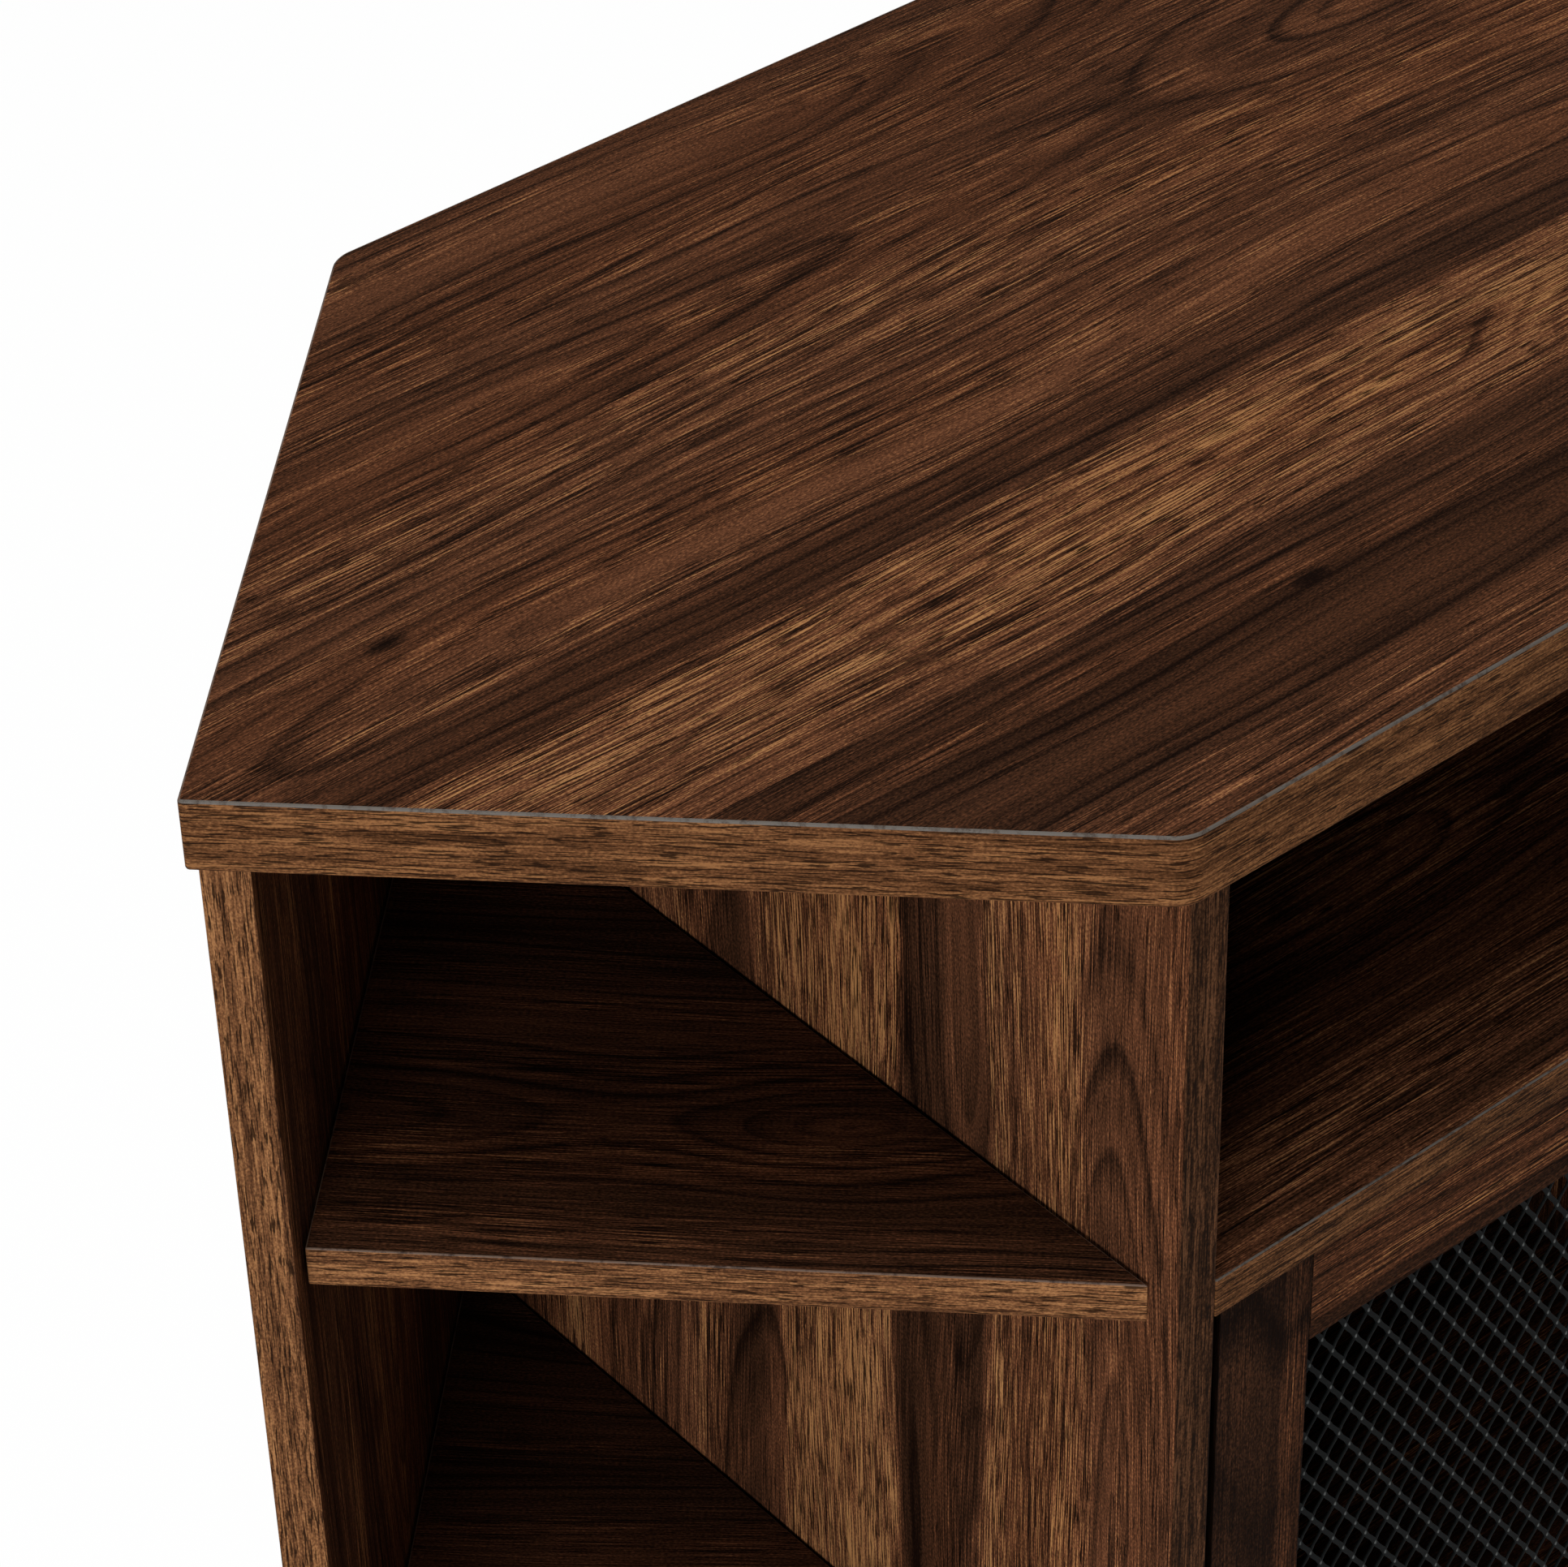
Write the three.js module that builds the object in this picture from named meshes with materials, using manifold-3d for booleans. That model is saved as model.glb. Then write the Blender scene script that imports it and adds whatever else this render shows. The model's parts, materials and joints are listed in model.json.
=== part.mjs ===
// Corner TV cabinet in dark walnut laminate, with two mesh doors, an open bay over them
// and three open corner bays on each side. Millimetres, +Z up, the doors face -Y.

import * as THREE from 'three';
import { mergeVertices } from 'three/addons/utils/BufferGeometryUtils.js';
import Module from 'manifold-3d';

const wasm = await Module();
wasm.setup();

// Overall sizes
const overallWidth = 1219;
const overallDepth = 400;
const overallHeight = 762;

// Boards and how far the top stands over them
const topThickness = 25;
const boardThickness = 15;
const backThickness = 3;
const frontOverhang = 4;
const sideOverhang = 3;
const backOverhang = 3;
const dividerInset = 4.5;
const topCornerRadius = 12;
const topTipRadius = 1.5;
const topEdgeBevel = 1;
const fitGap = 0.25;

// Levels of the shelf surfaces, measured down from the top surface
const upperLevelDrop = 182;
const lowerLevelDrop = 425;

// Loose corner shelves
const shelfRecess = 9.5;
const shelfNose = 12;

// Shelf pins
const pinRadius = 2.5;
const pinSeat = 9;
const pinReach = 8;
const pinCollarRadius = 4;
const pinCollarThickness = 0.8;
const pinSetback = 40;
const boreClearance = 0.25;

// Plinth under the bottom board
const plinthHeight = 79;
const kickRecess = 30;
const glideRadius = 6.5;
const glideHeight = 3;
const glideStemRadius = 2;
const glideStemLength = 9;
const glideSetback = 25;

// Doors
const doorThickness = 15;
const doorSideGap = 5;
const doorMeetingGap = 3;
const doorTopGap = 1.5;
const doorBottomGap = 2;
const stileWidth = 39;
const railHeight = 38;
const doorStopGap = 1;
const doorRecess = 2.5;

// Expanded mesh in the doors, its openings drawn coarser than the real ones
const meshThickness = 1.5;
const meshSetback = 8;
const meshSeat = 5;
const meshClearance = 0.3;
const meshStrand = 3;
const meshColumns = 9;
const meshRows = 7;

// Door pivots
const pivotInset = 10;
const pivotRadius = 3;
const pivotSeat = 12;
const pivotReach = 10;
const pivotChamfer = 0.6;
const bushWall = 2;
const bushFlangeRadius = 7;
const bushFlange = 1.5;

// Door pulls, bent from round rod
const pullRadius = 4;
const pullSpan = 128;
const pullProjection = 30.5;
const pullBend = 11;

// Magnetic catches and the plates that they hold
const catchWidth = 30;
const catchDepth = 14;
const catchHeight = 12;
const catchEar = 6;
const catchEarThickness = 4;
const strikeWidth = 24;
const strikeHeight = 9;
const strikeThickness = 1;
const strikeHoleRadius = 2;
const strikeDrop = 2;

// Fixed shelves behind the doors, and the cable holes
const innerShelfRise = 136;
const innerShelfRecess = 30;
const cableHoleRadius = 25;

// How finely round shapes are drawn, and the overrun of every cut
const roundSteps = 16;
const cornerSteps = 4;
const pullSteps = 30;
const pullSides = 10;
const cutOverrun = 1;

// Places that follow from the sizes
const halfWidth = overallWidth / 2;
const halfDepth = overallDepth / 2;
const frontHalf = halfWidth - halfDepth;
const topUnderside = overallHeight - topThickness;
const boardFrontY = frontOverhang - halfDepth;
const boardBackY = halfDepth - backOverhang - backThickness - fitGap;
const dividerOuterX = frontHalf - dividerInset;
const dividerInnerX = dividerOuterX - boardThickness;
const panelInner = sideOverhang + boardThickness;
const upperLevel = overallHeight - upperLevelDrop;
const lowerLevel = overallHeight - lowerLevelDrop;
const bottomUnderside = plinthHeight;
const bottomLevel = bottomUnderside + boardThickness;
const innerLevel = bottomLevel + innerShelfRise;
const plinthBottom = glideHeight + fitGap;
const shelfSideGap = pinCollarThickness + 2 * fitGap;
const doorWidth = dividerInnerX - doorSideGap - doorMeetingGap / 2;
const doorBottomZ = bottomLevel + doorBottomGap;
const doorTopZ = upperLevel - boardThickness - doorTopGap;
const doorHeight = doorTopZ - doorBottomZ;
const doorFrontY = boardFrontY + doorRecess;
const doorBackY = doorFrontY + doorThickness;
const pivotY = doorFrontY + doorThickness / 2;
const pivotX = dividerInnerX - doorSideGap - pivotInset;

// Finishes
const laminate = new THREE.MeshStandardMaterial({ color: '#4a2f1e', roughness: 0.5 });
const doorLaminate = new THREE.MeshStandardMaterial({ color: '#4f3120', roughness: 0.5 });
const hardboard = new THREE.MeshStandardMaterial({ color: '#3a271b', roughness: 0.7 });
const blackSteel = new THREE.MeshStandardMaterial({ color: '#222524', roughness: 0.45, metalness: 0.8 });
const platedSteel = new THREE.MeshStandardMaterial({ color: '#b9bbbd', roughness: 0.3, metalness: 1 });
const nylon = new THREE.MeshStandardMaterial({ color: '#e8e6e0', roughness: 0.5 });
const brownPlastic = new THREE.MeshStandardMaterial({ color: '#3b2a20', roughness: 0.5 });

const cabinet = new THREE.Group();

function addPiece(parent, name, geometry, material) {
  const mesh = new THREE.Mesh(geometry, material);
  mesh.name = name;
  parent.add(mesh);
  return mesh;
}

// Plan points of one wing. Its angled front edge and its back edge meet at 90 degrees in the
// tip, and fromFront and fromBack are the distances inwards from those two edges.
function wingPoint(side, fromFront, fromBack) {
  const across = (fromFront + fromBack) / Math.SQRT2;
  return new THREE.Vector2(side * (halfWidth - across), (fromFront - fromBack) / Math.SQRT2);
}

function backLineAtX(side, fromBack, x) {
  return new THREE.Vector2(side * x, halfWidth - x - fromBack * Math.SQRT2);
}

function backLineAtY(side, fromBack, y) {
  return new THREE.Vector2(side * (halfWidth - y - fromBack * Math.SQRT2), y);
}

function frontLineAtX(side, fromFront, x) {
  return new THREE.Vector2(side * x, fromFront * Math.SQRT2 - (halfWidth - x));
}

function frontLineAtY(side, fromFront, y) {
  return new THREE.Vector2(side * (halfWidth - fromFront * Math.SQRT2 + y), y);
}

function rectangle(x0, x1, y0, y1) {
  return [
    new THREE.Vector2(x0, y0),
    new THREE.Vector2(x1, y0),
    new THREE.Vector2(x1, y1),
    new THREE.Vector2(x0, y1),
  ];
}

// Replaces each corner of an outline by an arc of its own radius
function roundCorners(points, radii) {
  const rounded = [];
  points.forEach((corner, index) => {
    const before = points[(index + points.length - 1) % points.length];
    const after = points[(index + 1) % points.length];
    const toBefore = before.clone().sub(corner).normalize();
    const toAfter = after.clone().sub(corner).normalize();
    const halfAngle = Math.acos(toBefore.dot(toAfter)) / 2;
    const middle = toBefore.clone().add(toAfter).normalize();
    const centre = corner.clone().addScaledVector(middle, radii[index] / Math.sin(halfAngle));
    const start = corner.clone().addScaledVector(toBefore, radii[index] / Math.tan(halfAngle));
    const turn = toBefore.cross(toAfter) < 0 ? Math.PI - 2 * halfAngle : 2 * halfAngle - Math.PI;
    for (let step = 0; step <= cornerSteps; step += 1) {
      rounded.push(start.clone().rotateAround(centre, (turn * step) / cornerSteps));
    }
  });
  return rounded;
}

function extrude(points, depth, holes = []) {
  const shape = new THREE.Shape(points);
  shape.holes = holes;
  return new THREE.ExtrudeGeometry(shape, { depth, bevelEnabled: false });
}

// A board cut to an outline in plan and standing between two levels
function addBoard(name, outline, bottom, top, material = laminate) {
  const mesh = addPiece(cabinet, name, extrude(outline, top - bottom), material);
  mesh.position.z = bottom;
  return mesh;
}

// Solids for cutting and joining
function toManifold(geometry) {
  const bare = geometry.clone();
  bare.deleteAttribute('normal');
  bare.deleteAttribute('uv');
  const merged = mergeVertices(bare);
  return new wasm.Manifold(new wasm.Mesh({
    numProp: 3,
    vertProperties: new Float32Array(merged.attributes.position.array),
    triVerts: new Uint32Array(merged.index.array),
  }));
}

function fromManifold(solid) {
  const result = solid.getMesh();
  const geometry = new THREE.BufferGeometry();
  geometry.setAttribute('position', new THREE.BufferAttribute(result.vertProperties, 3));
  geometry.setIndex(new THREE.BufferAttribute(result.triVerts, 1));
  geometry.computeVertexNormals();
  return geometry;
}

// Points a geometry that was made along +Z in a direction, and moves it to a place
function aim(geometry, place, direction) {
  const turn = new THREE.Quaternion().setFromUnitVectors(new THREE.Vector3(0, 0, 1), direction);
  return geometry.applyQuaternion(turn).translate(place.x, place.y, place.z);
}

// A drilled hole, as the cutter that makes it: it starts at the mouth and runs inwards
function drill(radius, depth, mouth, inwards) {
  const cutter = new THREE.CylinderGeometry(radius, radius, depth + cutOverrun, roundSteps);
  cutter.rotateX(Math.PI / 2).translate(0, 0, (depth - cutOverrun) / 2);
  return aim(cutter, mouth, inwards);
}

// Cuts cutters, given in the cabinet's own frame, out of a piece that is already placed
function cut(mesh, cutters) {
  mesh.updateWorldMatrix(true, false);
  const intoMesh = mesh.matrixWorld.clone().invert();
  let solid = toManifold(mesh.geometry);
  cutters.forEach((cutter) => {
    solid = solid.subtract(toManifold(cutter.clone().applyMatrix4(intoMesh)));
  });
  mesh.geometry = fromManifold(solid);
}

// A turned piece along +Z, from [radius, height] pairs
function turned(profile) {
  const points = profile.map(([radius, height]) => new THREE.Vector2(radius, height));
  return new THREE.LatheGeometry(points, roundSteps).rotateX(Math.PI / 2);
}

const sides = [{ name: 'left', sign: -1 }, { name: 'right', sign: 1 }];
const up = new THREE.Vector3(0, 0, 1);
const down = new THREE.Vector3(0, 0, -1);

// Top board: six-sided, with rounded corners and a fine bevel on both edges of its band
const topOutline = roundCorners(
  [
    new THREE.Vector2(-frontHalf, -halfDepth),
    new THREE.Vector2(frontHalf, -halfDepth),
    new THREE.Vector2(halfWidth, 0),
    new THREE.Vector2(frontHalf, halfDepth),
    new THREE.Vector2(-frontHalf, halfDepth),
    new THREE.Vector2(-halfWidth, 0),
  ],
  [topCornerRadius, topCornerRadius, topTipRadius, topCornerRadius, topCornerRadius, topTipRadius],
);
const topGeometry = new THREE.ExtrudeGeometry(new THREE.Shape(topOutline), {
  depth: topThickness - 2 * topEdgeBevel,
  bevelEnabled: true,
  bevelThickness: topEdgeBevel,
  bevelSize: topEdgeBevel,
  bevelOffset: -topEdgeBevel,
  bevelSegments: 1,
});
addPiece(cabinet, 'top_panel', topGeometry, laminate).position.z = topUnderside + topEdgeBevel;

// Bottom board: carries the dividers, and fits between the two side panels
const bottomHalf = sides.map(({ sign }) => [
  frontLineAtY(sign, frontOverhang, boardFrontY),
  wingPoint(sign, frontOverhang, panelInner + fitGap),
  backLineAtX(sign, panelInner + fitGap, dividerOuterX),
  new THREE.Vector2(sign * dividerOuterX, boardBackY),
]);
const bottomOutline = [...bottomHalf[1], ...bottomHalf[0].reverse()];
const bottomPanel = addBoard('bottom_panel', bottomOutline, bottomUnderside, bottomLevel);

// Fixed shelf over the doors
const centreShelf = addBoard(
  'centre_shelf',
  rectangle(fitGap - dividerInnerX, dividerInnerX - fitGap, boardFrontY, boardBackY),
  upperLevel - boardThickness,
  upperLevel,
);

// Partition between the two cupboards
addBoard(
  'centre_partition',
  rectangle(-boardThickness / 2, boardThickness / 2, doorBackY + doorStopGap, boardBackY),
  bottomLevel + fitGap,
  upperLevel - boardThickness - fitGap,
);

// Hardboard back with a cable hole behind the open bay and behind each cupboard
const cableHolePlaces = [
  [0, (topUnderside + upperLevel) / 2],
  [-dividerInnerX / 2, (upperLevel + lowerLevel) / 2],
  [dividerInnerX / 2, (upperLevel + lowerLevel) / 2],
];
const cableHoles = cableHolePlaces.map(([x, z]) => {
  const hole = new THREE.Path();
  hole.absarc(x, z, cableHoleRadius, 0, 2 * Math.PI);
  return new THREE.Path(hole.getPoints(roundSteps / 2));
});
const backPanel = addPiece(
  cabinet,
  'back_panel',
  extrude(
    rectangle(-dividerOuterX, dividerOuterX, bottomUnderside, topUnderside - fitGap),
    backThickness,
    cableHoles,
  ),
  hardboard,
);
backPanel.rotation.x = Math.PI / 2;
backPanel.position.y = boardBackY + fitGap + backThickness;

// Straight plinth boards at the front and at the back
const kickFrontY = boardFrontY + kickRecess;
const kickBackY = kickFrontY + boardThickness;
const kickFromFront = frontOverhang + kickRecess;
const kickFrontCorner = frontLineAtY(1, kickFromFront, kickFrontY);
const kickBackCorner = frontLineAtY(1, kickFromFront + boardThickness, kickBackY);
const frontKick = addBoard(
  'front_kick_board',
  [
    new THREE.Vector2(-kickFrontCorner.x, kickFrontY),
    new THREE.Vector2(kickFrontCorner.x, kickFrontY),
    new THREE.Vector2(kickBackCorner.x, kickBackY),
    new THREE.Vector2(-kickBackCorner.x, kickBackY),
  ],
  plinthBottom,
  bottomUnderside - fitGap,
);
const backKickEnd = backLineAtY(1, panelInner + fitGap, boardBackY - boardThickness).x;
addBoard(
  'back_kick_board',
  rectangle(-backKickEnd, backKickEnd, boardBackY - boardThickness, boardBackY),
  plinthBottom,
  bottomUnderside - fitGap,
);

// Shelf pin, pushed into a board, with a collar on its face and the shelf resting on its end
function pinGeometry() {
  return turned([
    [0, -pinSeat],
    [pinRadius, -pinSeat],
    [pinRadius, 0],
    [pinCollarRadius, 0],
    [pinCollarRadius, pinCollarThickness],
    [pinRadius, pinCollarThickness],
    [pinRadius, pinReach],
    [0, pinReach],
  ]);
}

// Nail-on glide under a board's end, its stem driven into the board
function addGlide(name, board, x, y) {
  const glide = addPiece(
    cabinet,
    name,
    turned([
      [0, 0],
      [glideRadius, 0],
      [glideRadius, glideHeight],
      [glideStemRadius, glideHeight],
      [glideStemRadius, glideHeight + glideStemLength],
      [0, glideHeight + glideStemLength],
    ]),
    brownPlastic,
  );
  glide.position.set(x, y, 0);
  const mouth = new THREE.Vector3(x, y, plinthBottom);
  cut(board, [drill(glideStemRadius + boreClearance, glideStemLength + boreClearance, mouth, up)]);
}

// The pieces that both sides have
const pivotHoles = { shelf: [], bottom: [] };
sides.forEach(({ name: side, sign }) => {
  // Upright board between the centre and this wing
  const divider = addBoard(
    `${side}_divider`,
    rectangle(sign * dividerInnerX, sign * dividerOuterX, boardFrontY, boardBackY),
    bottomLevel + fitGap,
    topUnderside - fitGap,
  );

  // Outer panel along the wing's back edge, mitred against the divider
  const sidePanel = addBoard(
    `${side}_side_panel`,
    [
      wingPoint(sign, frontOverhang, sideOverhang),
      wingPoint(sign, frontOverhang, panelInner),
      backLineAtX(sign, panelInner, dividerOuterX + fitGap),
      new THREE.Vector2(sign * (dividerOuterX + fitGap), boardBackY),
      backLineAtY(sign, sideOverhang, boardBackY),
    ],
    plinthBottom,
    topUnderside - fitGap,
  );

  // Angled plinth board under the wing's open front
  addBoard(
    `${side}_kick_board`,
    [
      frontLineAtX(sign, kickFromFront, kickFrontCorner.x + fitGap),
      wingPoint(sign, kickFromFront, panelInner + fitGap),
      wingPoint(sign, kickFromFront + boardThickness, panelInner + fitGap),
      frontLineAtX(sign, kickFromFront + boardThickness, kickBackCorner.x + fitGap),
    ],
    plinthBottom,
    bottomUnderside - fitGap,
  );

  // Two loose corner shelves, each on two pins in the divider and one in the side panel
  const shelfX = dividerOuterX + shelfSideGap;
  const shelfFromFront = frontOverhang + shelfRecess;
  const shelfFromBack = panelInner + shelfSideGap;
  const frontCorner = frontLineAtX(sign, shelfFromFront, shelfX);
  const noseY = backLineAtX(sign, shelfFromBack, shelfX).y - shelfNose;
  const panelPin = wingPoint(sign, shelfFromFront + pinSetback, panelInner);
  const outwards = new THREE.Vector3(sign, 1, 0).normalize();
  const inwards = new THREE.Vector3(-sign, 0, 0);
  [['upper', upperLevel], ['lower', lowerLevel]].forEach(([level, surface]) => {
    addBoard(
      `${side}_${level}_shelf`,
      [
        frontCorner,
        wingPoint(sign, shelfFromFront, shelfFromBack),
        backLineAtY(sign, shelfFromBack, noseY),
        new THREE.Vector2(sign * shelfX, noseY),
      ],
      surface - boardThickness,
      surface,
    );
    const pinZ = surface - boardThickness - fitGap - pinRadius;
    const pins = [
      ['front', divider, new THREE.Vector3(sign * dividerOuterX, frontCorner.y + pinSetback, pinZ), inwards],
      ['back', divider, new THREE.Vector3(sign * dividerOuterX, noseY - pinSetback, pinZ), inwards],
      ['side', sidePanel, new THREE.Vector3(panelPin.x, panelPin.y, pinZ), outwards],
    ];
    pins.forEach(([place, board, mouth, intoBoard]) => {
      const outOfBoard = intoBoard.clone().negate();
      const seat = mouth.clone().addScaledVector(outOfBoard, fitGap);
      const pin = addPiece(cabinet, `${side}_${level}_shelf_pin_${place}`, pinGeometry(), platedSteel);
      pin.quaternion.setFromUnitVectors(up, outOfBoard);
      pin.position.copy(seat);
      cut(board, [drill(pinRadius + boreClearance, pinSeat + boreClearance, mouth, intoBoard)]);
    });
  });

  // Fixed shelf in the cupboard behind this door
  addBoard(
    `${side}_inner_shelf`,
    rectangle(
      sign * (boardThickness / 2 + fitGap),
      sign * (dividerInnerX - fitGap),
      doorBackY + innerShelfRecess,
      boardBackY,
    ),
    innerLevel - boardThickness,
    innerLevel,
  );

  // Glides at the wing's tip, at its back end and under the front plinth board
  const middleOfPanel = sideOverhang + boardThickness / 2;
  const tipGlide = wingPoint(sign, frontOverhang + glideSetback, middleOfPanel);
  const rearGlide = backLineAtY(sign, middleOfPanel, boardBackY - glideSetback);
  addGlide(`${side}_tip_glide`, sidePanel, tipGlide.x, tipGlide.y);
  addGlide(`${side}_rear_glide`, sidePanel, rearGlide.x, rearGlide.y);
  const frontGlideX = sign * (kickBackCorner.x - glideSetback);
  addGlide(`${side}_front_glide`, frontKick, frontGlideX, (kickFrontY + kickBackY) / 2);

  // Catch under the centre shelf, at this door's meeting stile
  const catchX = sign * (doorMeetingGap / 2 + stileWidth / 2 + boardThickness / 4);
  const catchBottom = upperLevel - boardThickness - fitGap - catchHeight;
  const ear = catchWidth / 2 - catchEar;
  const catchTop = catchHeight - catchEarThickness;
  const magnet = addPiece(
    cabinet,
    `${side}_magnetic_catch`,
    extrude(
      [
        new THREE.Vector2(-ear, 0),
        new THREE.Vector2(ear, 0),
        new THREE.Vector2(ear, catchTop),
        new THREE.Vector2(catchWidth / 2, catchTop),
        new THREE.Vector2(catchWidth / 2, catchHeight),
        new THREE.Vector2(-catchWidth / 2, catchHeight),
        new THREE.Vector2(-catchWidth / 2, catchTop),
        new THREE.Vector2(-ear, catchTop),
      ],
      catchDepth,
    ),
    brownPlastic,
  );
  magnet.rotation.x = Math.PI / 2;
  magnet.position.set(catchX, doorBackY + strikeThickness + 2 * fitGap + catchDepth, catchBottom);

  // Flanged bush that the door's lower pivot stands in
  const pivotPlace = new THREE.Vector3(sign * pivotX, pivotY, 0);
  const bushBore = pivotRadius + boreClearance;
  const bush = addPiece(
    cabinet,
    `${side}_pivot_bush`,
    turned([
      [bushBore, -pivotReach],
      [bushBore + bushWall, -pivotReach],
      [bushBore + bushWall, 0],
      [bushFlangeRadius, 0],
      [bushFlangeRadius, bushFlange],
      [bushBore, bushFlange],
      [bushBore, -pivotReach],
    ]),
    nylon,
  );
  bush.position.set(pivotPlace.x, pivotPlace.y, bottomLevel + fitGap);
  const upperMouth = new THREE.Vector3(pivotPlace.x, pivotPlace.y, upperLevel - boardThickness);
  const lowerMouth = new THREE.Vector3(pivotPlace.x, pivotPlace.y, bottomLevel);
  const bushHole = bushBore + bushWall + boreClearance;
  pivotHoles.shelf.push(drill(pivotRadius + boreClearance, pivotReach + boreClearance, upperMouth, up));
  pivotHoles.bottom.push(drill(bushHole, pivotReach + boreClearance, lowerMouth, down));
});
cut(centreShelf, pivotHoles.shelf);
cut(bottomPanel, pivotHoles.bottom);

// Groove that holds the mesh, as distances behind the door's front face
const grooveFront = meshSetback - meshClearance;
const grooveBack = meshSetback + meshThickness + meshClearance;
const grooveDepth = meshSeat + meshClearance;

// Frame section with the groove in its inner edge, from [across, behind] pairs
function frameSection(outer, inner, toPoint) {
  const groove = inner + Math.sign(outer - inner) * grooveDepth;
  return [
    toPoint(outer, 0),
    toPoint(inner, 0),
    toPoint(inner, grooveFront),
    toPoint(groove, grooveFront),
    toPoint(groove, grooveBack),
    toPoint(inner, grooveBack),
    toPoint(inner, doorThickness),
    toPoint(outer, doorThickness),
  ];
}

// Mesh sheet: rows of diamonds, those along its four sides halved at the edge of the opening
function meshGeometry(openingWidth, openingHeight) {
  const cellWidth = openingWidth / meshColumns;
  const cellHeight = openingHeight / meshRows;
  const edge = Math.hypot(cellWidth, cellHeight);
  const openShare = 1 - (meshStrand * edge) / (cellWidth * cellHeight);
  const across = (cellWidth / 2) * openShare;
  const along = (cellHeight / 2) * openShare;
  const sheet = rectangle(-meshSeat, openingWidth + meshSeat, -meshSeat, openingHeight + meshSeat);
  let solid = toManifold(extrude(sheet, meshThickness));
  for (let column = 0; column <= 2 * meshColumns; column += 1) {
    for (let row = 1 - (column % 2); row <= 2 * meshRows; row += 2) {
      const middle = new THREE.Vector2((column * cellWidth) / 2, (row * cellHeight) / 2);
      const corners = [
        new THREE.Vector2(column > 0 ? -across : 0, 0),
        new THREE.Vector2(0, row > 0 ? -along : 0),
        new THREE.Vector2(column < 2 * meshColumns ? across : 0, 0),
        new THREE.Vector2(0, row < 2 * meshRows ? along : 0),
      ];
      const outline = corners.filter((corner) => corner.length() > 0);
      const cutter = extrude(outline, meshThickness + 2 * cutOverrun);
      cutter.translate(middle.x, middle.y, -cutOverrun);
      solid = solid.subtract(toManifold(cutter));
    }
  }
  return fromManifold(solid);
}

// Pull: one rod with two rounded bends, from the door's face out and back
function pullGeometry() {
  const out = -pullProjection + pullRadius;
  const straight = out + pullBend;
  const path = new THREE.CurvePath();
  const point = (y, z) => new THREE.Vector3(0, y, z);
  path.add(new THREE.LineCurve3(point(0, 0), point(straight, 0)));
  path.add(new THREE.QuadraticBezierCurve3(point(straight, 0), point(out, 0), point(out, pullBend)));
  path.add(new THREE.LineCurve3(point(out, pullBend), point(out, pullSpan - pullBend)));
  path.add(new THREE.QuadraticBezierCurve3(
    point(out, pullSpan - pullBend),
    point(out, pullSpan),
    point(straight, pullSpan),
  ));
  path.add(new THREE.LineCurve3(point(straight, pullSpan), point(0, pullSpan)));
  const section = new THREE.Shape();
  section.absarc(0, 0, pullRadius, 0, 2 * Math.PI);
  return new THREE.ExtrudeGeometry(section, {
    steps: pullSteps,
    curveSegments: pullSides,
    extrudePath: path,
  });
}

// Pivot pin along +Z, its seat in the door and its free end chamfered
function pivotGeometry(freeLength) {
  return turned([
    [0, -pivotSeat],
    [pivotRadius, -pivotSeat],
    [pivotRadius, freeLength - pivotChamfer],
    [pivotRadius - pivotChamfer, freeLength],
    [0, freeLength],
  ]);
}

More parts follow.
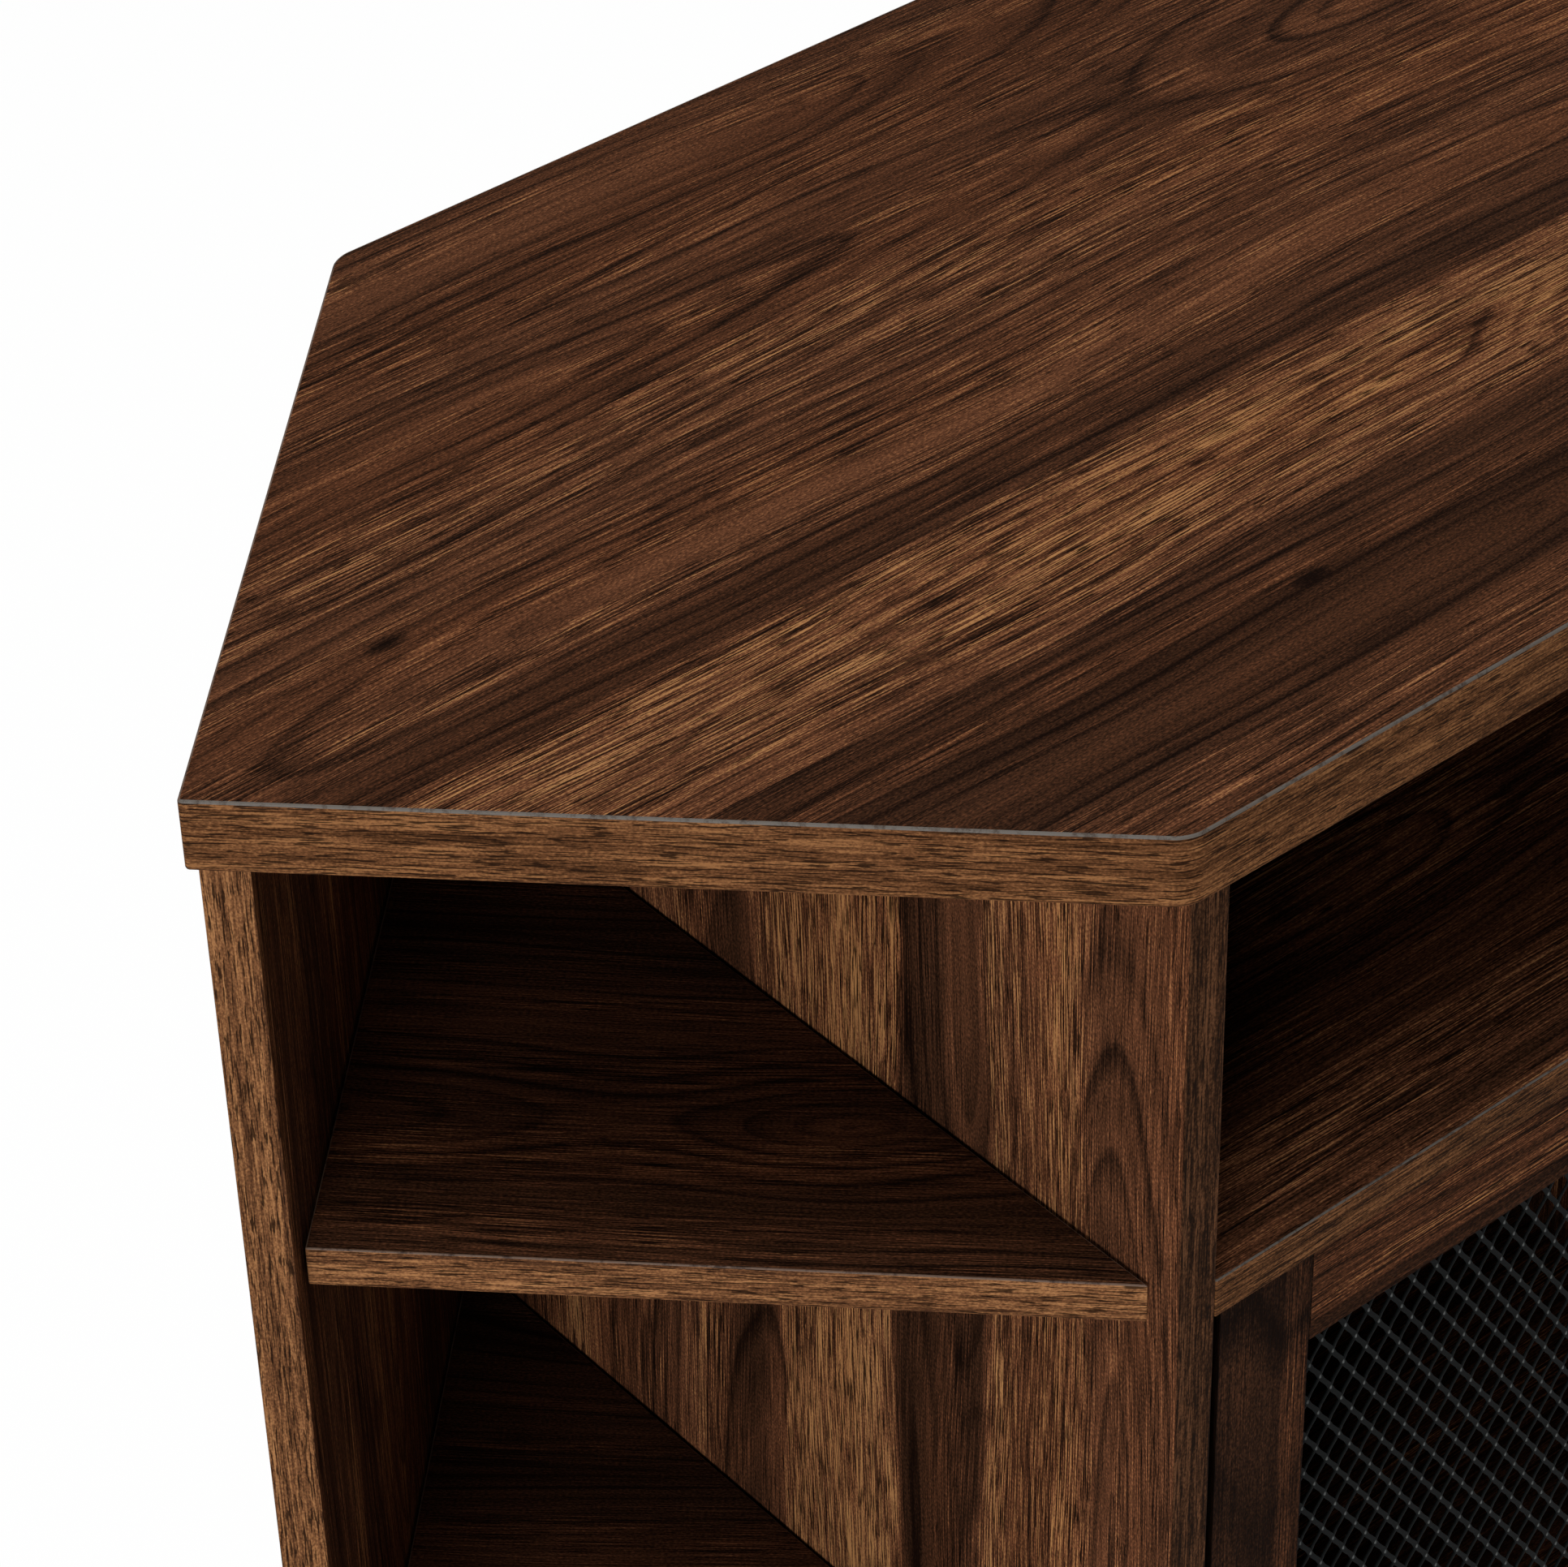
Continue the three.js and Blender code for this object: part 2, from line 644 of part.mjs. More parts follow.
// Doors: each group stands at its pivot axis, on the door's lower edge and front face
sides.forEach(({ name: side, sign }) => {
  const door = new THREE.Group();
  door.position.set(sign * pivotX, doorFrontY, doorBottomZ);
  cabinet.add(door);
  const fromPivot = (distance) => sign * (pivotInset - distance);

  // Stiles run the full height of the door
  const addStile = (name, outer, inner) => {
    const section = frameSection(outer, inner, (across, behind) => (
      new THREE.Vector2(fromPivot(across), behind)
    ));
    return addPiece(door, `${side}_door_${name}`, extrude(section, doorHeight), doorLaminate);
  };
  const hingeStile = addStile('hinge_stile', 0, stileWidth);
  addStile('meeting_stile', doorWidth, doorWidth - stileWidth);

  // Rails fit between the stiles
  const railLength = doorWidth - 2 * stileWidth - 2 * fitGap;
  const railStart = Math.min(
    fromPivot(stileWidth + fitGap),
    fromPivot(doorWidth - stileWidth - fitGap),
  );
  const lengthways = new THREE.Matrix4().makeBasis(
    new THREE.Vector3(0, 1, 0),
    new THREE.Vector3(0, 0, 1),
    new THREE.Vector3(1, 0, 0),
  );
  const addRail = (name, outer, inner) => {
    const section = frameSection(outer, inner, (height, behind) => new THREE.Vector2(behind, height));
    const rail = addPiece(door, `${side}_door_${name}`, extrude(section, railLength), doorLaminate);
    rail.quaternion.setFromRotationMatrix(lengthways);
    rail.position.x = railStart;
  };
  addRail('top_rail', doorHeight, doorHeight - railHeight);
  addRail('bottom_rail', 0, railHeight);

  // Mesh sheet, its edges in the grooves
  const openingWidth = doorWidth - 2 * stileWidth;
  const openingHeight = doorHeight - 2 * railHeight;
  const mesh = addPiece(door, `${side}_door_mesh`, meshGeometry(openingWidth, openingHeight), blackSteel);
  mesh.rotation.x = Math.PI / 2;
  mesh.position.set(
    Math.min(fromPivot(stileWidth), fromPivot(doorWidth - stileWidth)),
    meshSetback + meshThickness,
    railHeight,
  );

  // Pull in the middle of the meeting stile
  const pull = addPiece(door, `${side}_door_pull`, pullGeometry(), blackSteel);
  pull.position.set(fromPivot(doorWidth - stileWidth / 2), -fitGap, (doorHeight - pullSpan) / 2);

  // Plate that the catch holds, on the back of the meeting stile
  const plateHole = new THREE.Path();
  plateHole.absarc(0, strikeHeight / 2, strikeHoleRadius, 0, 2 * Math.PI);
  const plateHoles = [new THREE.Path(plateHole.getPoints(roundSteps / 2))];
  const plateOutline = rectangle(-strikeWidth / 2, strikeWidth / 2, 0, strikeHeight);
  const plate = addPiece(
    door,
    `${side}_door_strike_plate`,
    extrude(plateOutline, strikeThickness, plateHoles),
    platedSteel,
  );
  plate.rotation.x = Math.PI / 2;
  plate.position.set(
    fromPivot(doorWidth - stileWidth / 2),
    doorThickness + fitGap + strikeThickness,
    doorHeight - strikeDrop - strikeHeight,
  );

  // Pivot pins in the ends of the hinge stile
  const pins = [
    ['upper', doorHeight, up, doorTopGap + pivotReach - boreClearance],
    ['lower', 0, down, doorBottomGap + pivotReach - boreClearance],
  ];
  pins.forEach(([level, height, direction, freeLength]) => {
    const pin = addPiece(door, `${side}_${level}_pivot_pin`, pivotGeometry(freeLength), platedSteel);
    pin.quaternion.setFromUnitVectors(up, direction);
    pin.position.set(0, doorThickness / 2, height);
    const mouth = new THREE.Vector3(0, doorThickness / 2, height).add(door.position);
    const inwards = direction.clone().negate();
    cut(hingeStile, [drill(pivotRadius + boreClearance, pivotSeat + boreClearance, mouth, inwards)]);
  });
});

// The origin is at the middle of the footprint, pulls included
cabinet.position.y = (pullProjection + fitGap - frontOverhang - doorRecess) / 2;

export default cabinet;
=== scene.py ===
import json
import math

import bmesh
import bpy
from mathutils import Matrix, Vector

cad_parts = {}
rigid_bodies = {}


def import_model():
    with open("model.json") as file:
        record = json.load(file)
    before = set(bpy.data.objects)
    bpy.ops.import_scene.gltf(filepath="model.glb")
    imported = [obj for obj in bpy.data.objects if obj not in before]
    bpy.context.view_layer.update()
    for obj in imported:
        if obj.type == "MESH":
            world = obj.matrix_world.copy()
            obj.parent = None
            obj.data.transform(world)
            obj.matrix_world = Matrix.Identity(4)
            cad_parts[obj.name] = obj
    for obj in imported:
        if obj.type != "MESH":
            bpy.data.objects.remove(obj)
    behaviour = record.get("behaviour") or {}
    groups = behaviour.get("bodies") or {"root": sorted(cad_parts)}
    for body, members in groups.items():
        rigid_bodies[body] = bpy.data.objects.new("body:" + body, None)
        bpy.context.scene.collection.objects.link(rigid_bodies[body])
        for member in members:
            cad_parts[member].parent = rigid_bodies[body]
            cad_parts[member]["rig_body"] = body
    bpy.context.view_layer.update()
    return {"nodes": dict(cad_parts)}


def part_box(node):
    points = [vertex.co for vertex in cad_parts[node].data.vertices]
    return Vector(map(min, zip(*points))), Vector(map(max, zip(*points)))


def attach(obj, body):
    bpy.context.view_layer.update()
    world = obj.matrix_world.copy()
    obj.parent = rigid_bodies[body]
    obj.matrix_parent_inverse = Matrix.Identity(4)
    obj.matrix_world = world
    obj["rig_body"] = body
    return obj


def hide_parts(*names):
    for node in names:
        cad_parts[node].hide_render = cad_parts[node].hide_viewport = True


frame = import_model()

# The view: a long lens from the front left and above, looking down on the corner of the top
# where the straight front meets the left wing. Its place was worked out from the photo's lines.
right_across_photo = Vector((0.76729376, -0.64084455, -0.02405304))
down_the_photo = Vector((-0.40989712, -0.46124089, -0.7869188))
into_photo = Vector((0.49319837, 0.61365715, -0.61658759))
lens_mm = 119.69
camera = bpy.data.objects.new("photo_camera", bpy.data.cameras.new("photo_camera"))
camera.data.sensor_width = 36
camera.data.lens = lens_mm
camera.data.clip_end = 50
camera_place = (-1.19469, -0.986935, 1.65862)
turn = Matrix((right_across_photo, -down_the_photo, -into_photo)).transposed()
camera.matrix_world = Matrix.Translation(camera_place) @ turn.to_4x4()
bpy.context.scene.collection.objects.link(camera)
bpy.context.scene.camera = camera

# Top: a six-sided chipboard board, 25 mm thick, faced with walnut laminate and banded round its
# edge. The band's upper arris is trimmed flush, which leaves a fine grey line round the board;
# the line is partly painted highlight, lighter at the front than at the back.
mm = 0.001


def linear(hex_colour):
    """An sRGB hex colour as the linear colour that a shader takes."""
    shares = [int(hex_colour[place:place + 2], 16) / 255 for place in (1, 3, 5)]
    return [s / 12.92 if s <= 0.04045 else ((s + 0.055) / 1.055) ** 2.4 for s in shares] + [1]


def add_node(tree, kind, settings=None, inputs=None):
    """Adds one node, with its settings, its values and the links that come in."""
    node = tree.nodes.new(kind)
    for name, value in (settings or {}).items():
        setattr(node, name, value)
    for name, value in (inputs or {}).items():
        if isinstance(value, bpy.types.NodeSocket):
            tree.links.new(value, node.inputs[name])
        else:
            node.inputs[name].default_value = value
    return node


def fill_ramp(ramp, stops, interpolation="LINEAR"):
    """Sets a colour ramp's stops: (place, hex colour or grey share) pairs."""
    ramp.interpolation = interpolation
    while len(ramp.elements) < len(stops):
        ramp.elements.new(0.5)
    for element, (place, tone) in zip(ramp.elements, stops):
        element.position = place
        element.color = linear(tone) if isinstance(tone, str) else (tone, tone, tone, 1)


# Walnut laminate tones, from the dark of a knot to the golden threads
walnut_tones = [
    (0.0, "#120906"),
    (0.2, "#22140d"),
    (0.36, "#352116"),
    (0.5, "#482c1d"),
    (0.64, "#5c3926"),
    (0.8, "#7c5035"),
    (1.0, "#a6784c"),
]


def walnut_laminate(
    name, grain, across, start, stripes=None, width_mm=400, hearts=(), knots=(), shade=0.0,
    seed=0.0,
):
    """Printed walnut laminate: satin melamine paper with a dark brown figure along the grain.
    stripes are the tones of the print across the board, from start over width_mm, and on some
    boards they carry painted shade too. hearts are the lines that the growth rings run beside and
    close round in long tongues: (along, across, straight length to each side, taper). knots are
    small dark eyes: (along, across). Both are in mm from start. shade makes the whole print darker:
    painted shade for boards that stand out of the light."""
    material = bpy.data.materials.new(name)
    material.use_nodes = True
    tree = material.node_tree
    tree.nodes.clear()
    grain, across = Vector(grain).normalized(), Vector(across).normalized()
    turned = Matrix((grain, across, grain.cross(across)))
    place = add_node(tree, "ShaderNodeTexCoord").outputs["Object"]
    on_board = add_node(tree, "ShaderNodeMapping", None, {
        "Vector": place,
        "Rotation": turned.to_euler(),
        "Scale": (1000, 1000, 1000),
        "Location": -(turned @ Vector(start)) * 1000,
    }).outputs["Vector"]
    # Each seed takes another stretch of the printed paper
    board = add_node(tree, "ShaderNodeVectorMath", {"operation": "ADD"}, {
        0: on_board,
        1: (seed * 613, 0, seed * 377),
    }).outputs["Vector"]

    def cloud(vector, size_mm, detail, rough=0.5):
        """Noise about 0, stretched to cells of size_mm along, across and through the board."""
        stretched = add_node(tree, "ShaderNodeVectorMath", {"operation": "MULTIPLY"}, {
            0: vector,
            1: [1 / size for size in size_mm],
        }).outputs["Vector"]
        noise = add_node(tree, "ShaderNodeTexNoise", None, {
            "Vector": stretched,
            "Scale": 1,
            "Detail": detail,
            "Roughness": rough,
        }).outputs["Fac"]
        return add_node(tree, "ShaderNodeMath", {"operation": "SUBTRACT"}, {
            0: noise,
            1: 0.5,
        }).outputs["Value"]

    # The grain wanders a few millimetres across the board over each 300 mm of length
    wander = add_node(tree, "ShaderNodeMath", {"operation": "MULTIPLY"}, {
        0: cloud(board, (330, 70, 40), 1),
        1: min(22, width_mm / 12),
    }).outputs["Value"]
    shift = add_node(tree, "ShaderNodeCombineXYZ", None, {"Y": wander}).outputs["Vector"]
    figure = add_node(tree, "ShaderNodeVectorMath", {"operation": "ADD"}, {
        0: board,
        1: shift,
    }).outputs["Vector"]
    figure_mm = add_node(tree, "ShaderNodeSeparateXYZ", None, {0: figure}).outputs
    along_mm, across_mm = figure_mm["X"], figure_mm["Y"]

    # Broad light and dark bands, 20 to 60 mm wide
    bands = add_node(tree, "ShaderNodeMath", {"operation": "MULTIPLY"}, {
        0: cloud(figure, (800, 30, 30), 2),
        1: 1.1,
    }).outputs["Value"]
    if stripes:
        width_share = add_node(tree, "ShaderNodeMath", {"operation": "DIVIDE"}, {
            0: across_mm,
            1: width_mm,
        }).outputs["Value"]
        striped = add_node(tree, "ShaderNodeValToRGB", None, {"Fac": width_share})
        fill_ramp(striped.color_ramp, stripes, "EASE")
        light_or_dark = add_node(tree, "ShaderNodeMath", {"operation": "SUBTRACT"}, {
            0: striped.outputs[0],
            1: 0.45,
        }).outputs["Value"]
        bands = add_node(tree, "ShaderNodeMath", {"operation": "MULTIPLY_ADD"}, {
            0: bands,
            1: 0.22,
            2: light_or_dark,
        }).outputs["Value"]

    # Growth rings: each heart has rings beside it at even steps, which close past its ends. A
    # board that is given no heart is cut across a row of them, which lie at changing depths.
    ring_step_mm, heart_step_mm = 6, 168
    from_hearts = []
    for heart_along, heart_across, straight, taper in hearts:
        beyond = along_mm
        for operation, value in (
            ("SUBTRACT", heart_along),
            ("ABSOLUTE", 0),
            ("SUBTRACT", straight),
            ("MAXIMUM", 0),
            ("MULTIPLY", taper),
        ):
            beyond = add_node(tree, "ShaderNodeMath", {"operation": operation}, {
                0: beyond,
                1: value,
            }).outputs["Value"]
        aside = add_node(tree, "ShaderNodeMath", {"operation": "SUBTRACT"}, {
            0: across_mm,
            1: heart_across,
        }).outputs["Value"]
        from_hearts.append((beyond, aside))
    if not hearts:
        depth_mm = add_node(tree, "ShaderNodeMath", {"operation": "MULTIPLY"}, {
            0: cloud(figure, (270, 400, 400), 1),
            1: 150,
        }).outputs["Value"]
        aside = across_mm
        for operation, value in (("ADD", 37 * seed), ("PINGPONG", heart_step_mm / 2)):
            aside = add_node(tree, "ShaderNodeMath", {"operation": operation}, {
                0: aside,
                1: value,
            }).outputs["Value"]
        from_hearts.append((depth_mm, aside))
    ring_mm = None
    for beyond, aside in from_hearts:
        offset = add_node(tree, "ShaderNodeCombineXYZ", None, {"X": beyond, "Y": aside})
        away = add_node(tree, "ShaderNodeVectorMath", {"operation": "LENGTH"}, {
            0: offset.outputs["Vector"],
        }).outputs["Value"]
        ring_mm = away if ring_mm is None else add_node(
            tree, "ShaderNodeMath", {"operation": "SMOOTH_MIN"}, {0: ring_mm, 1: away, 2: 6}
        ).outputs["Value"]
    heart_light = add_node(tree, "ShaderNodeMapRange", {"clamp": True}, {
        "Value": ring_mm,
        "From Max": 11,
        "To Min": 1,
        "To Max": 0,
    }).outputs["Result"]
    ring_mm = add_node(tree, "ShaderNodeMath", {"operation": "MULTIPLY_ADD"}, {
        0: cloud(figure, (190, 40, 40), 1),
        1: 12,
        2: ring_mm,
    }).outputs["Value"]
    ringed = add_node(tree, "ShaderNodeCombineXYZ", None, {
        "X": along_mm,
        "Y": ring_mm,
    }).outputs["Vector"]
    streaks = cloud(ringed, (700, 8, 15), 2)
    ring_turn = ring_mm
    for operation, value in (("DIVIDE", ring_step_mm), ("FRACT", 0)):
        ring_turn = add_node(tree, "ShaderNodeMath", {"operation": operation}, {
            0: ring_turn,
            1: value,
        }).outputs["Value"]
    ring = add_node(tree, "ShaderNodeValToRGB", None, {"Fac": ring_turn})
    fill_ramp(ring.color_ramp, [(0.0, 0.15), (0.1, 0.0), (0.6, 0.1), (0.9, 1.0), (1.0, 0.15)])
    ring_share = add_node(tree, "ShaderNodeMapRange", {"clamp": True}, {
        "Value": cloud(ringed, (300, 13, 30), 1),
        "From Min": -0.14,
        "From Max": 0.14,
        "To Min": 0.03,
        "To Max": 0.32,
    }).outputs["Result"]
    rings_dark = add_node(tree, "ShaderNodeMath", {"operation": "MULTIPLY"}, {
        0: ring.outputs[0],
        1: ring_share,
    }).outputs["Value"]
    eye_dark = 0.0
    eye_length_mm, eye_width_mm = 9, 4
    for knot_along, knot_across in knots:
        offset = add_node(tree, "ShaderNodeVectorMath", {"operation": "MULTIPLY_ADD"}, {
            0: figure,
            1: (1 / eye_length_mm, 1 / eye_width_mm, 0),
            2: (-knot_along / eye_length_mm, -knot_across / eye_width_mm, 0),
        }).outputs["Vector"]
        away = add_node(tree, "ShaderNodeVectorMath", {"operation": "LENGTH"}, {
            0: offset,
        }).outputs["Value"]
        eye = add_node(tree, "ShaderNodeMapRange", {"clamp": True}, {
            "Value": away,
            "From Min": 1.0,
            "From Max": 0.2,
            "To Max": 0.4,
        }).outputs["Result"]
        eye_dark = add_node(tree, "ShaderNodeMath", {"operation": "MAXIMUM"}, {
            0: eye,
            1: eye_dark,
        }).outputs["Value"]

    # Where the print is light it is also full of pores, and threads show between them
    porous = 0.47
    for layer, share in (
        (cloud(figure, (260, 12, 20), 1), 1.3),
        (bands, 1.0),
        (heart_light, -0.35),
    ):
        porous = add_node(tree, "ShaderNodeMath", {"operation": "MULTIPLY_ADD"}, {
            0: layer,
            1: share,
            2: porous,
        }).outputs["Value"]
    porous = add_node(tree, "ShaderNodeMapRange", {"clamp": True}, {
        "Value": porous,
    }).outputs["Result"]
    thread_share = add_node(tree, "ShaderNodeMath", {"operation": "MULTIPLY_ADD"}, {
        0: porous,
        1: 2.4,
        2: 0.24,
    }).outputs["Value"]
    fibres = cloud(figure, (70, 2.2, 6), 2)
    threads = cloud(figure, (42, 0.5, 3), 1)
    grit = cloud(board, (1.3, 0.6, 0.6), 1)

    # Each layer lightens or darkens the print by its share
    # The shade value darkens the whole print: painted shade
    tone = 0.53 - shade
    for layer, share in (
        (bands, 0.55),
        (streaks, 0.6),
        (fibres, 0.12),
        (threads, thread_share),
        (grit, 0.75),
        (heart_light, 0.15),
        (rings_dark, -1),
        (eye_dark, -1),
    ):
        tone = add_node(tree, "ShaderNodeMath", {"operation": "MULTIPLY_ADD"}, {
            0: layer,
            1: share,
            2: tone,
        }).outputs["Value"]
    print_tones = add_node(tree, "ShaderNodeValToRGB", None, {"Fac": tone})
    fill_ramp(print_tones.color_ramp, walnut_tones)
    greyness = add_node(tree, "ShaderNodeMapRange", {"clamp": True}, {
        "Value": cloud(figure, (500, 45, 40), 1),
        "From Min": -0.08,
        "From Max": 0.12,
    }).outputs["Result"]
    tinted = add_node(tree, "ShaderNodeMix", {"data_type": "RGBA", "blend_type": "MULTIPLY"}, {
        0: greyness,
        6: print_tones.outputs[0],
        7: linear("#f7f2ee"),
    }).outputs[2]

    # Open pores: dark dashes along the grain, half a millimetre wide and up to 15 mm long, which
    # is as fine as shows. The more porous the print, the lower the noise that makes a pore.
    pore_noise = cloud(figure, (15, 0.5, 3), 1, 0.6)
    pore_edge = add_node(tree, "ShaderNodeMapRange", {"clamp": True}, {
        "Value": porous,
        "To Min": 0.17,
        "To Max": 0.02,
    }).outputs["Result"]
    over_edge = add_node(tree, "ShaderNodeMath", {"operation": "SUBTRACT"}, {
        0: pore_noise,
        1: pore_edge,
    }).outputs["Value"]
    dark = add_node(tree, "ShaderNodeMapRange", {"clamp": True}, {
        "Value": over_edge,
        "From Max": 0.05,
        "To Max": 0.9,
    }).outputs["Result"]
    coloured = add_node(tree, "ShaderNodeMix", {"data_type": "RGBA"}, {
        0: dark,
        6: tinted,
        7: linear("#0f0805"),
    }).outputs[2]

    pore_depth = add_node(tree, "ShaderNodeMapRange", {"clamp": True}, {
        "Value": pore_noise,
        "From Min": 0.06,
        "From Max": 0.12,
        "To Max": -1,
    }).outputs["Result"]
    height = add_node(tree, "ShaderNodeMath", {"operation": "MULTIPLY_ADD"}, {
        0: grit,
        1: 0.4,
        2: pore_depth,
    }).outputs["Value"]
    relief = add_node(tree, "ShaderNodeBump", None, {
        "Strength": 0.4,
        "Distance": 0.08 * mm,
        "Height": height,
    }).outputs["Normal"]
    shader = add_node(tree, "ShaderNodeBsdfPrincipled", None, {
        "Base Color": coloured,
        "Roughness": 0.45,
        "Specular IOR Level": 0.004,
        "Normal": relief,
    })
    add_node(tree, "ShaderNodeOutputMaterial", None, {"Surface": shader.outputs[0]})
    return material


def edge_band(name, along, tones):
    """Walnut edge band: thin melamine paper, satin brown in the given tones, its fine dark pores
    running along the edge. along is "level" on a level board's edge and "upright" on an
    upright one's."""
    material = bpy.data.materials.new(name)
    material.use_nodes = True
    tree = material.node_tree
    tree.nodes.clear()
    place = add_node(tree, "ShaderNodeTexCoord").outputs["Object"]
    looks = {}
    for look, along_edge_mm, across_mm, detail in (
        ("tones", 160, 4, 1),
        ("fibres", 26, 0.75, 2),
        ("pores", 9, 0.55, 1),
        ("grit", 1.1, 0.6, 1),
    ):
        size_mm = {
            "level": (along_edge_mm, along_edge_mm, across_mm),
            "upright": (across_mm, across_mm, along_edge_mm),
        }[along]
        scaled = add_node(tree, "ShaderNodeVectorMath", {"operation": "MULTIPLY"}, {
            0: place,
            1: [1000 / size for size in size_mm],
        }).outputs["Vector"]
        looks[look] = add_node(tree, "ShaderNodeTexNoise", None, {
            "Vector": scaled,
            "Scale": 1,
            "Detail": detail,
            "Roughness": 0.55,
        }).outputs["Fac"]
    tone = looks["tones"]
    for look, share in (("fibres", 1.7), ("grit", 1.1)):
        tone = add_node(tree, "ShaderNodeMath", {"operation": "MULTIPLY_ADD"}, {
            0: looks[look],
            1: share,
            2: tone,
        }).outputs["Value"]
    tone = add_node(tree, "ShaderNodeMath", {"operation": "SUBTRACT"}, {
        0: tone,
        1: 1.4,
    }).outputs["Value"]
    paper = add_node(tree, "ShaderNodeValToRGB", None, {"Fac": tone})
    fill_ramp(paper.color_ramp, list(zip((0.1, 0.5, 0.9), tones)))
    pores = add_node(tree, "ShaderNodeMapRange", {"clamp": True}, {
        "Value": looks["pores"],
        "From Min": 0.555,
        "From Max": 0.6,
        "To Max": 0.85,
    }).outputs["Result"]
    coloured = add_node(tree, "ShaderNodeMix", {"data_type": "RGBA"}, {
        0: pores,
        6: paper.outputs[0],
        7: linear("#160c07"),
    }).outputs[2]
    relief = add_node(tree, "ShaderNodeBump", None, {
        "Strength": 0.3,
        "Distance": 0.08 * mm,
        "Height": pores,
    }).outputs["Normal"]
    shader = add_node(tree, "ShaderNodeBsdfPrincipled", None, {
        "Base Color": coloured,
        "Roughness": 0.48,
        "Specular IOR Level": 0.008,
        "Normal": relief,
    })
    add_node(tree, "ShaderNodeOutputMaterial", None, {"Surface": shader.outputs[0]})
    return material


def trimmed_line(name, light, dark):
    """The cut edge of the paper where the band was trimmed: a fine grey line, scuffed in places.
    Its grey is partly the paper's core and partly painted highlight.
    """
    material = bpy.data.materials.new(name)
    material.use_nodes = True
    tree = material.node_tree
    tree.nodes.clear()
    place = add_node(tree, "ShaderNodeTexCoord").outputs["Object"]
    scuffs_per_metre = 220
    scuffs = add_node(tree, "ShaderNodeTexNoise", None, {
        "Vector": place,
        "Scale": scuffs_per_metre,
        "Detail": 4,
        "Roughness": 0.7,
    }).outputs["Fac"]
    tones = add_node(tree, "ShaderNodeValToRGB", None, {"Fac": scuffs})
    fill_ramp(tones.color_ramp, [(0.35, dark), (0.5, light), (0.7, light)])
    shader = add_node(tree, "ShaderNodeBsdfPrincipled", None, {
        "Base Color": tones.outputs[0],
        "Roughness": 0.4,
        "Specular IOR Level": 0.08,
    })
    add_node(tree, "ShaderNodeOutputMaterial", None, {"Surface": shader.outputs[0]})
    return material


golden_tones = ("#42291a", "#6a462c", "#946843")
top_band = edge_band("walnut_band_top", "level", ("#382213", "#5c3b24", "#835a38"))
level_band = edge_band("walnut_band_level", "level", golden_tones)
upright_band = edge_band("walnut_band_upright", "upright", golden_tones)
# Two copies of the trimmed line: the bright one carries more painted highlight than the dull one
bright_trim_painted_highlight = trimmed_line("trimmed_band_painted_highlight", "#544e48", "#362c25")
dull_trim = trimmed_line("trimmed_band_dull", "#5c483b", "#2f1f16")

top_low, top_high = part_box("top_panel")
tip_x, corner_x = 609.5 * mm, 409.5 * mm
middle_y = (top_low.y + top_high.y) / 2
top_corners = [
    (-corner_x, top_low.y),
    (corner_x, top_low.y),
    (tip_x, middle_y),
    (corner_x, top_high.y),
    (-corner_x, top_high.y),
    (-tip_x, middle_y),
]
bpy.ops.object.select_all(action="DESELECT")
bpy.ops.mesh.primitive_circle_add(vertices=len(top_corners), fill_type="NGON")
top = bpy.context.object
top.name = "top_board"
for vertex, (x, y) in zip(top.data.vertices, top_corners):
    vertex.co = (x, y, top_low.z)
bpy.ops.object.mode_set(mode="EDIT")
bpy.ops.mesh.select_all(action="SELECT")
bpy.ops.mesh.extrude_region_move(
    TRANSFORM_OT_translate={"value": (0, 0, top_high.z - top_low.z)}
)
bpy.ops.mesh.select_all(action="SELECT")
bpy.ops.mesh.normals_make_consistent(inside=False)


def select_edges(wanted):
    """Selects the edges of the mesh in edit mode for which wanted(edge) is true."""
    bpy.ops.mesh.select_mode(type="EDGE")
    bpy.ops.mesh.select_all(action="DESELECT")
    editing = bmesh.from_edit_mesh(bpy.context.object.data)
    for edge in editing.edges:
        edge.select_set(bool(wanted(edge)))
    editing.select_flush_mode()
    bmesh.update_edit_mesh(bpy.context.object.data)


def is_upright(edge):
    first, last = (vertex.co for vertex in edge.verts)
    return abs(first.z - last.z) > 0.9 * (first - last).length


tip_radius, corner_radius, corner_angle = 1.5 * mm, 12 * mm, math.radians(135)
trim_width = 0.8 * mm
select_edges(lambda edge: is_upright(edge) and abs(edge.verts[0].co.x) > corner_x + tip_radius)
bpy.ops.mesh.bevel(offset=tip_radius, segments=4, affect="EDGES")
select_edges(lambda edge: is_upright(edge) and abs(edge.verts[0].co.x) < corner_x + tip_radius)
bpy.ops.mesh.bevel(
    offset=corner_radius / math.tan(corner_angle / 2), segments=10, affect="EDGES",
)
top_stripes = [
    (0.0, 0.55), (0.055, 0.4), (0.075, 0.08), (0.12, 0.1), (0.16, 0.05), (0.18, 0.35),
    (0.215, 0.2), (0.255, 0.62), (0.32, 0.8), (0.385, 0.72), (0.395, 0.2), (0.42, 0.25),
    (0.46, 0.42), (0.53, 0.52), (0.57, 0.45), (0.61, 0.55), (0.67, 0.62), (0.72, 0.35),
    (0.745, 0.5), (0.77, 0.35), (0.84, 0.5), (0.92, 0.35), (0.96, 0.5), (1.0, 0.35),
]
top_hearts = [
    (-100, 46, 240, 0.14), (140, 197, 180, 0.13), (-130, 298, 80, 0.1), (20, 372, 120, 0.2),
    (560, 96, 120, 0.32), (520, 300, 150, 0.28), (760, 200, 90, 0.3),
]
top_faces = walnut_laminate(
    "walnut_laminate_top", (1, 0, 0), (0, 1, 0), (-corner_x, top_low.y, top_high.z),
    stripes=top_stripes, hearts=top_hearts, knots=[(110, 67), (-112, 217)],
)
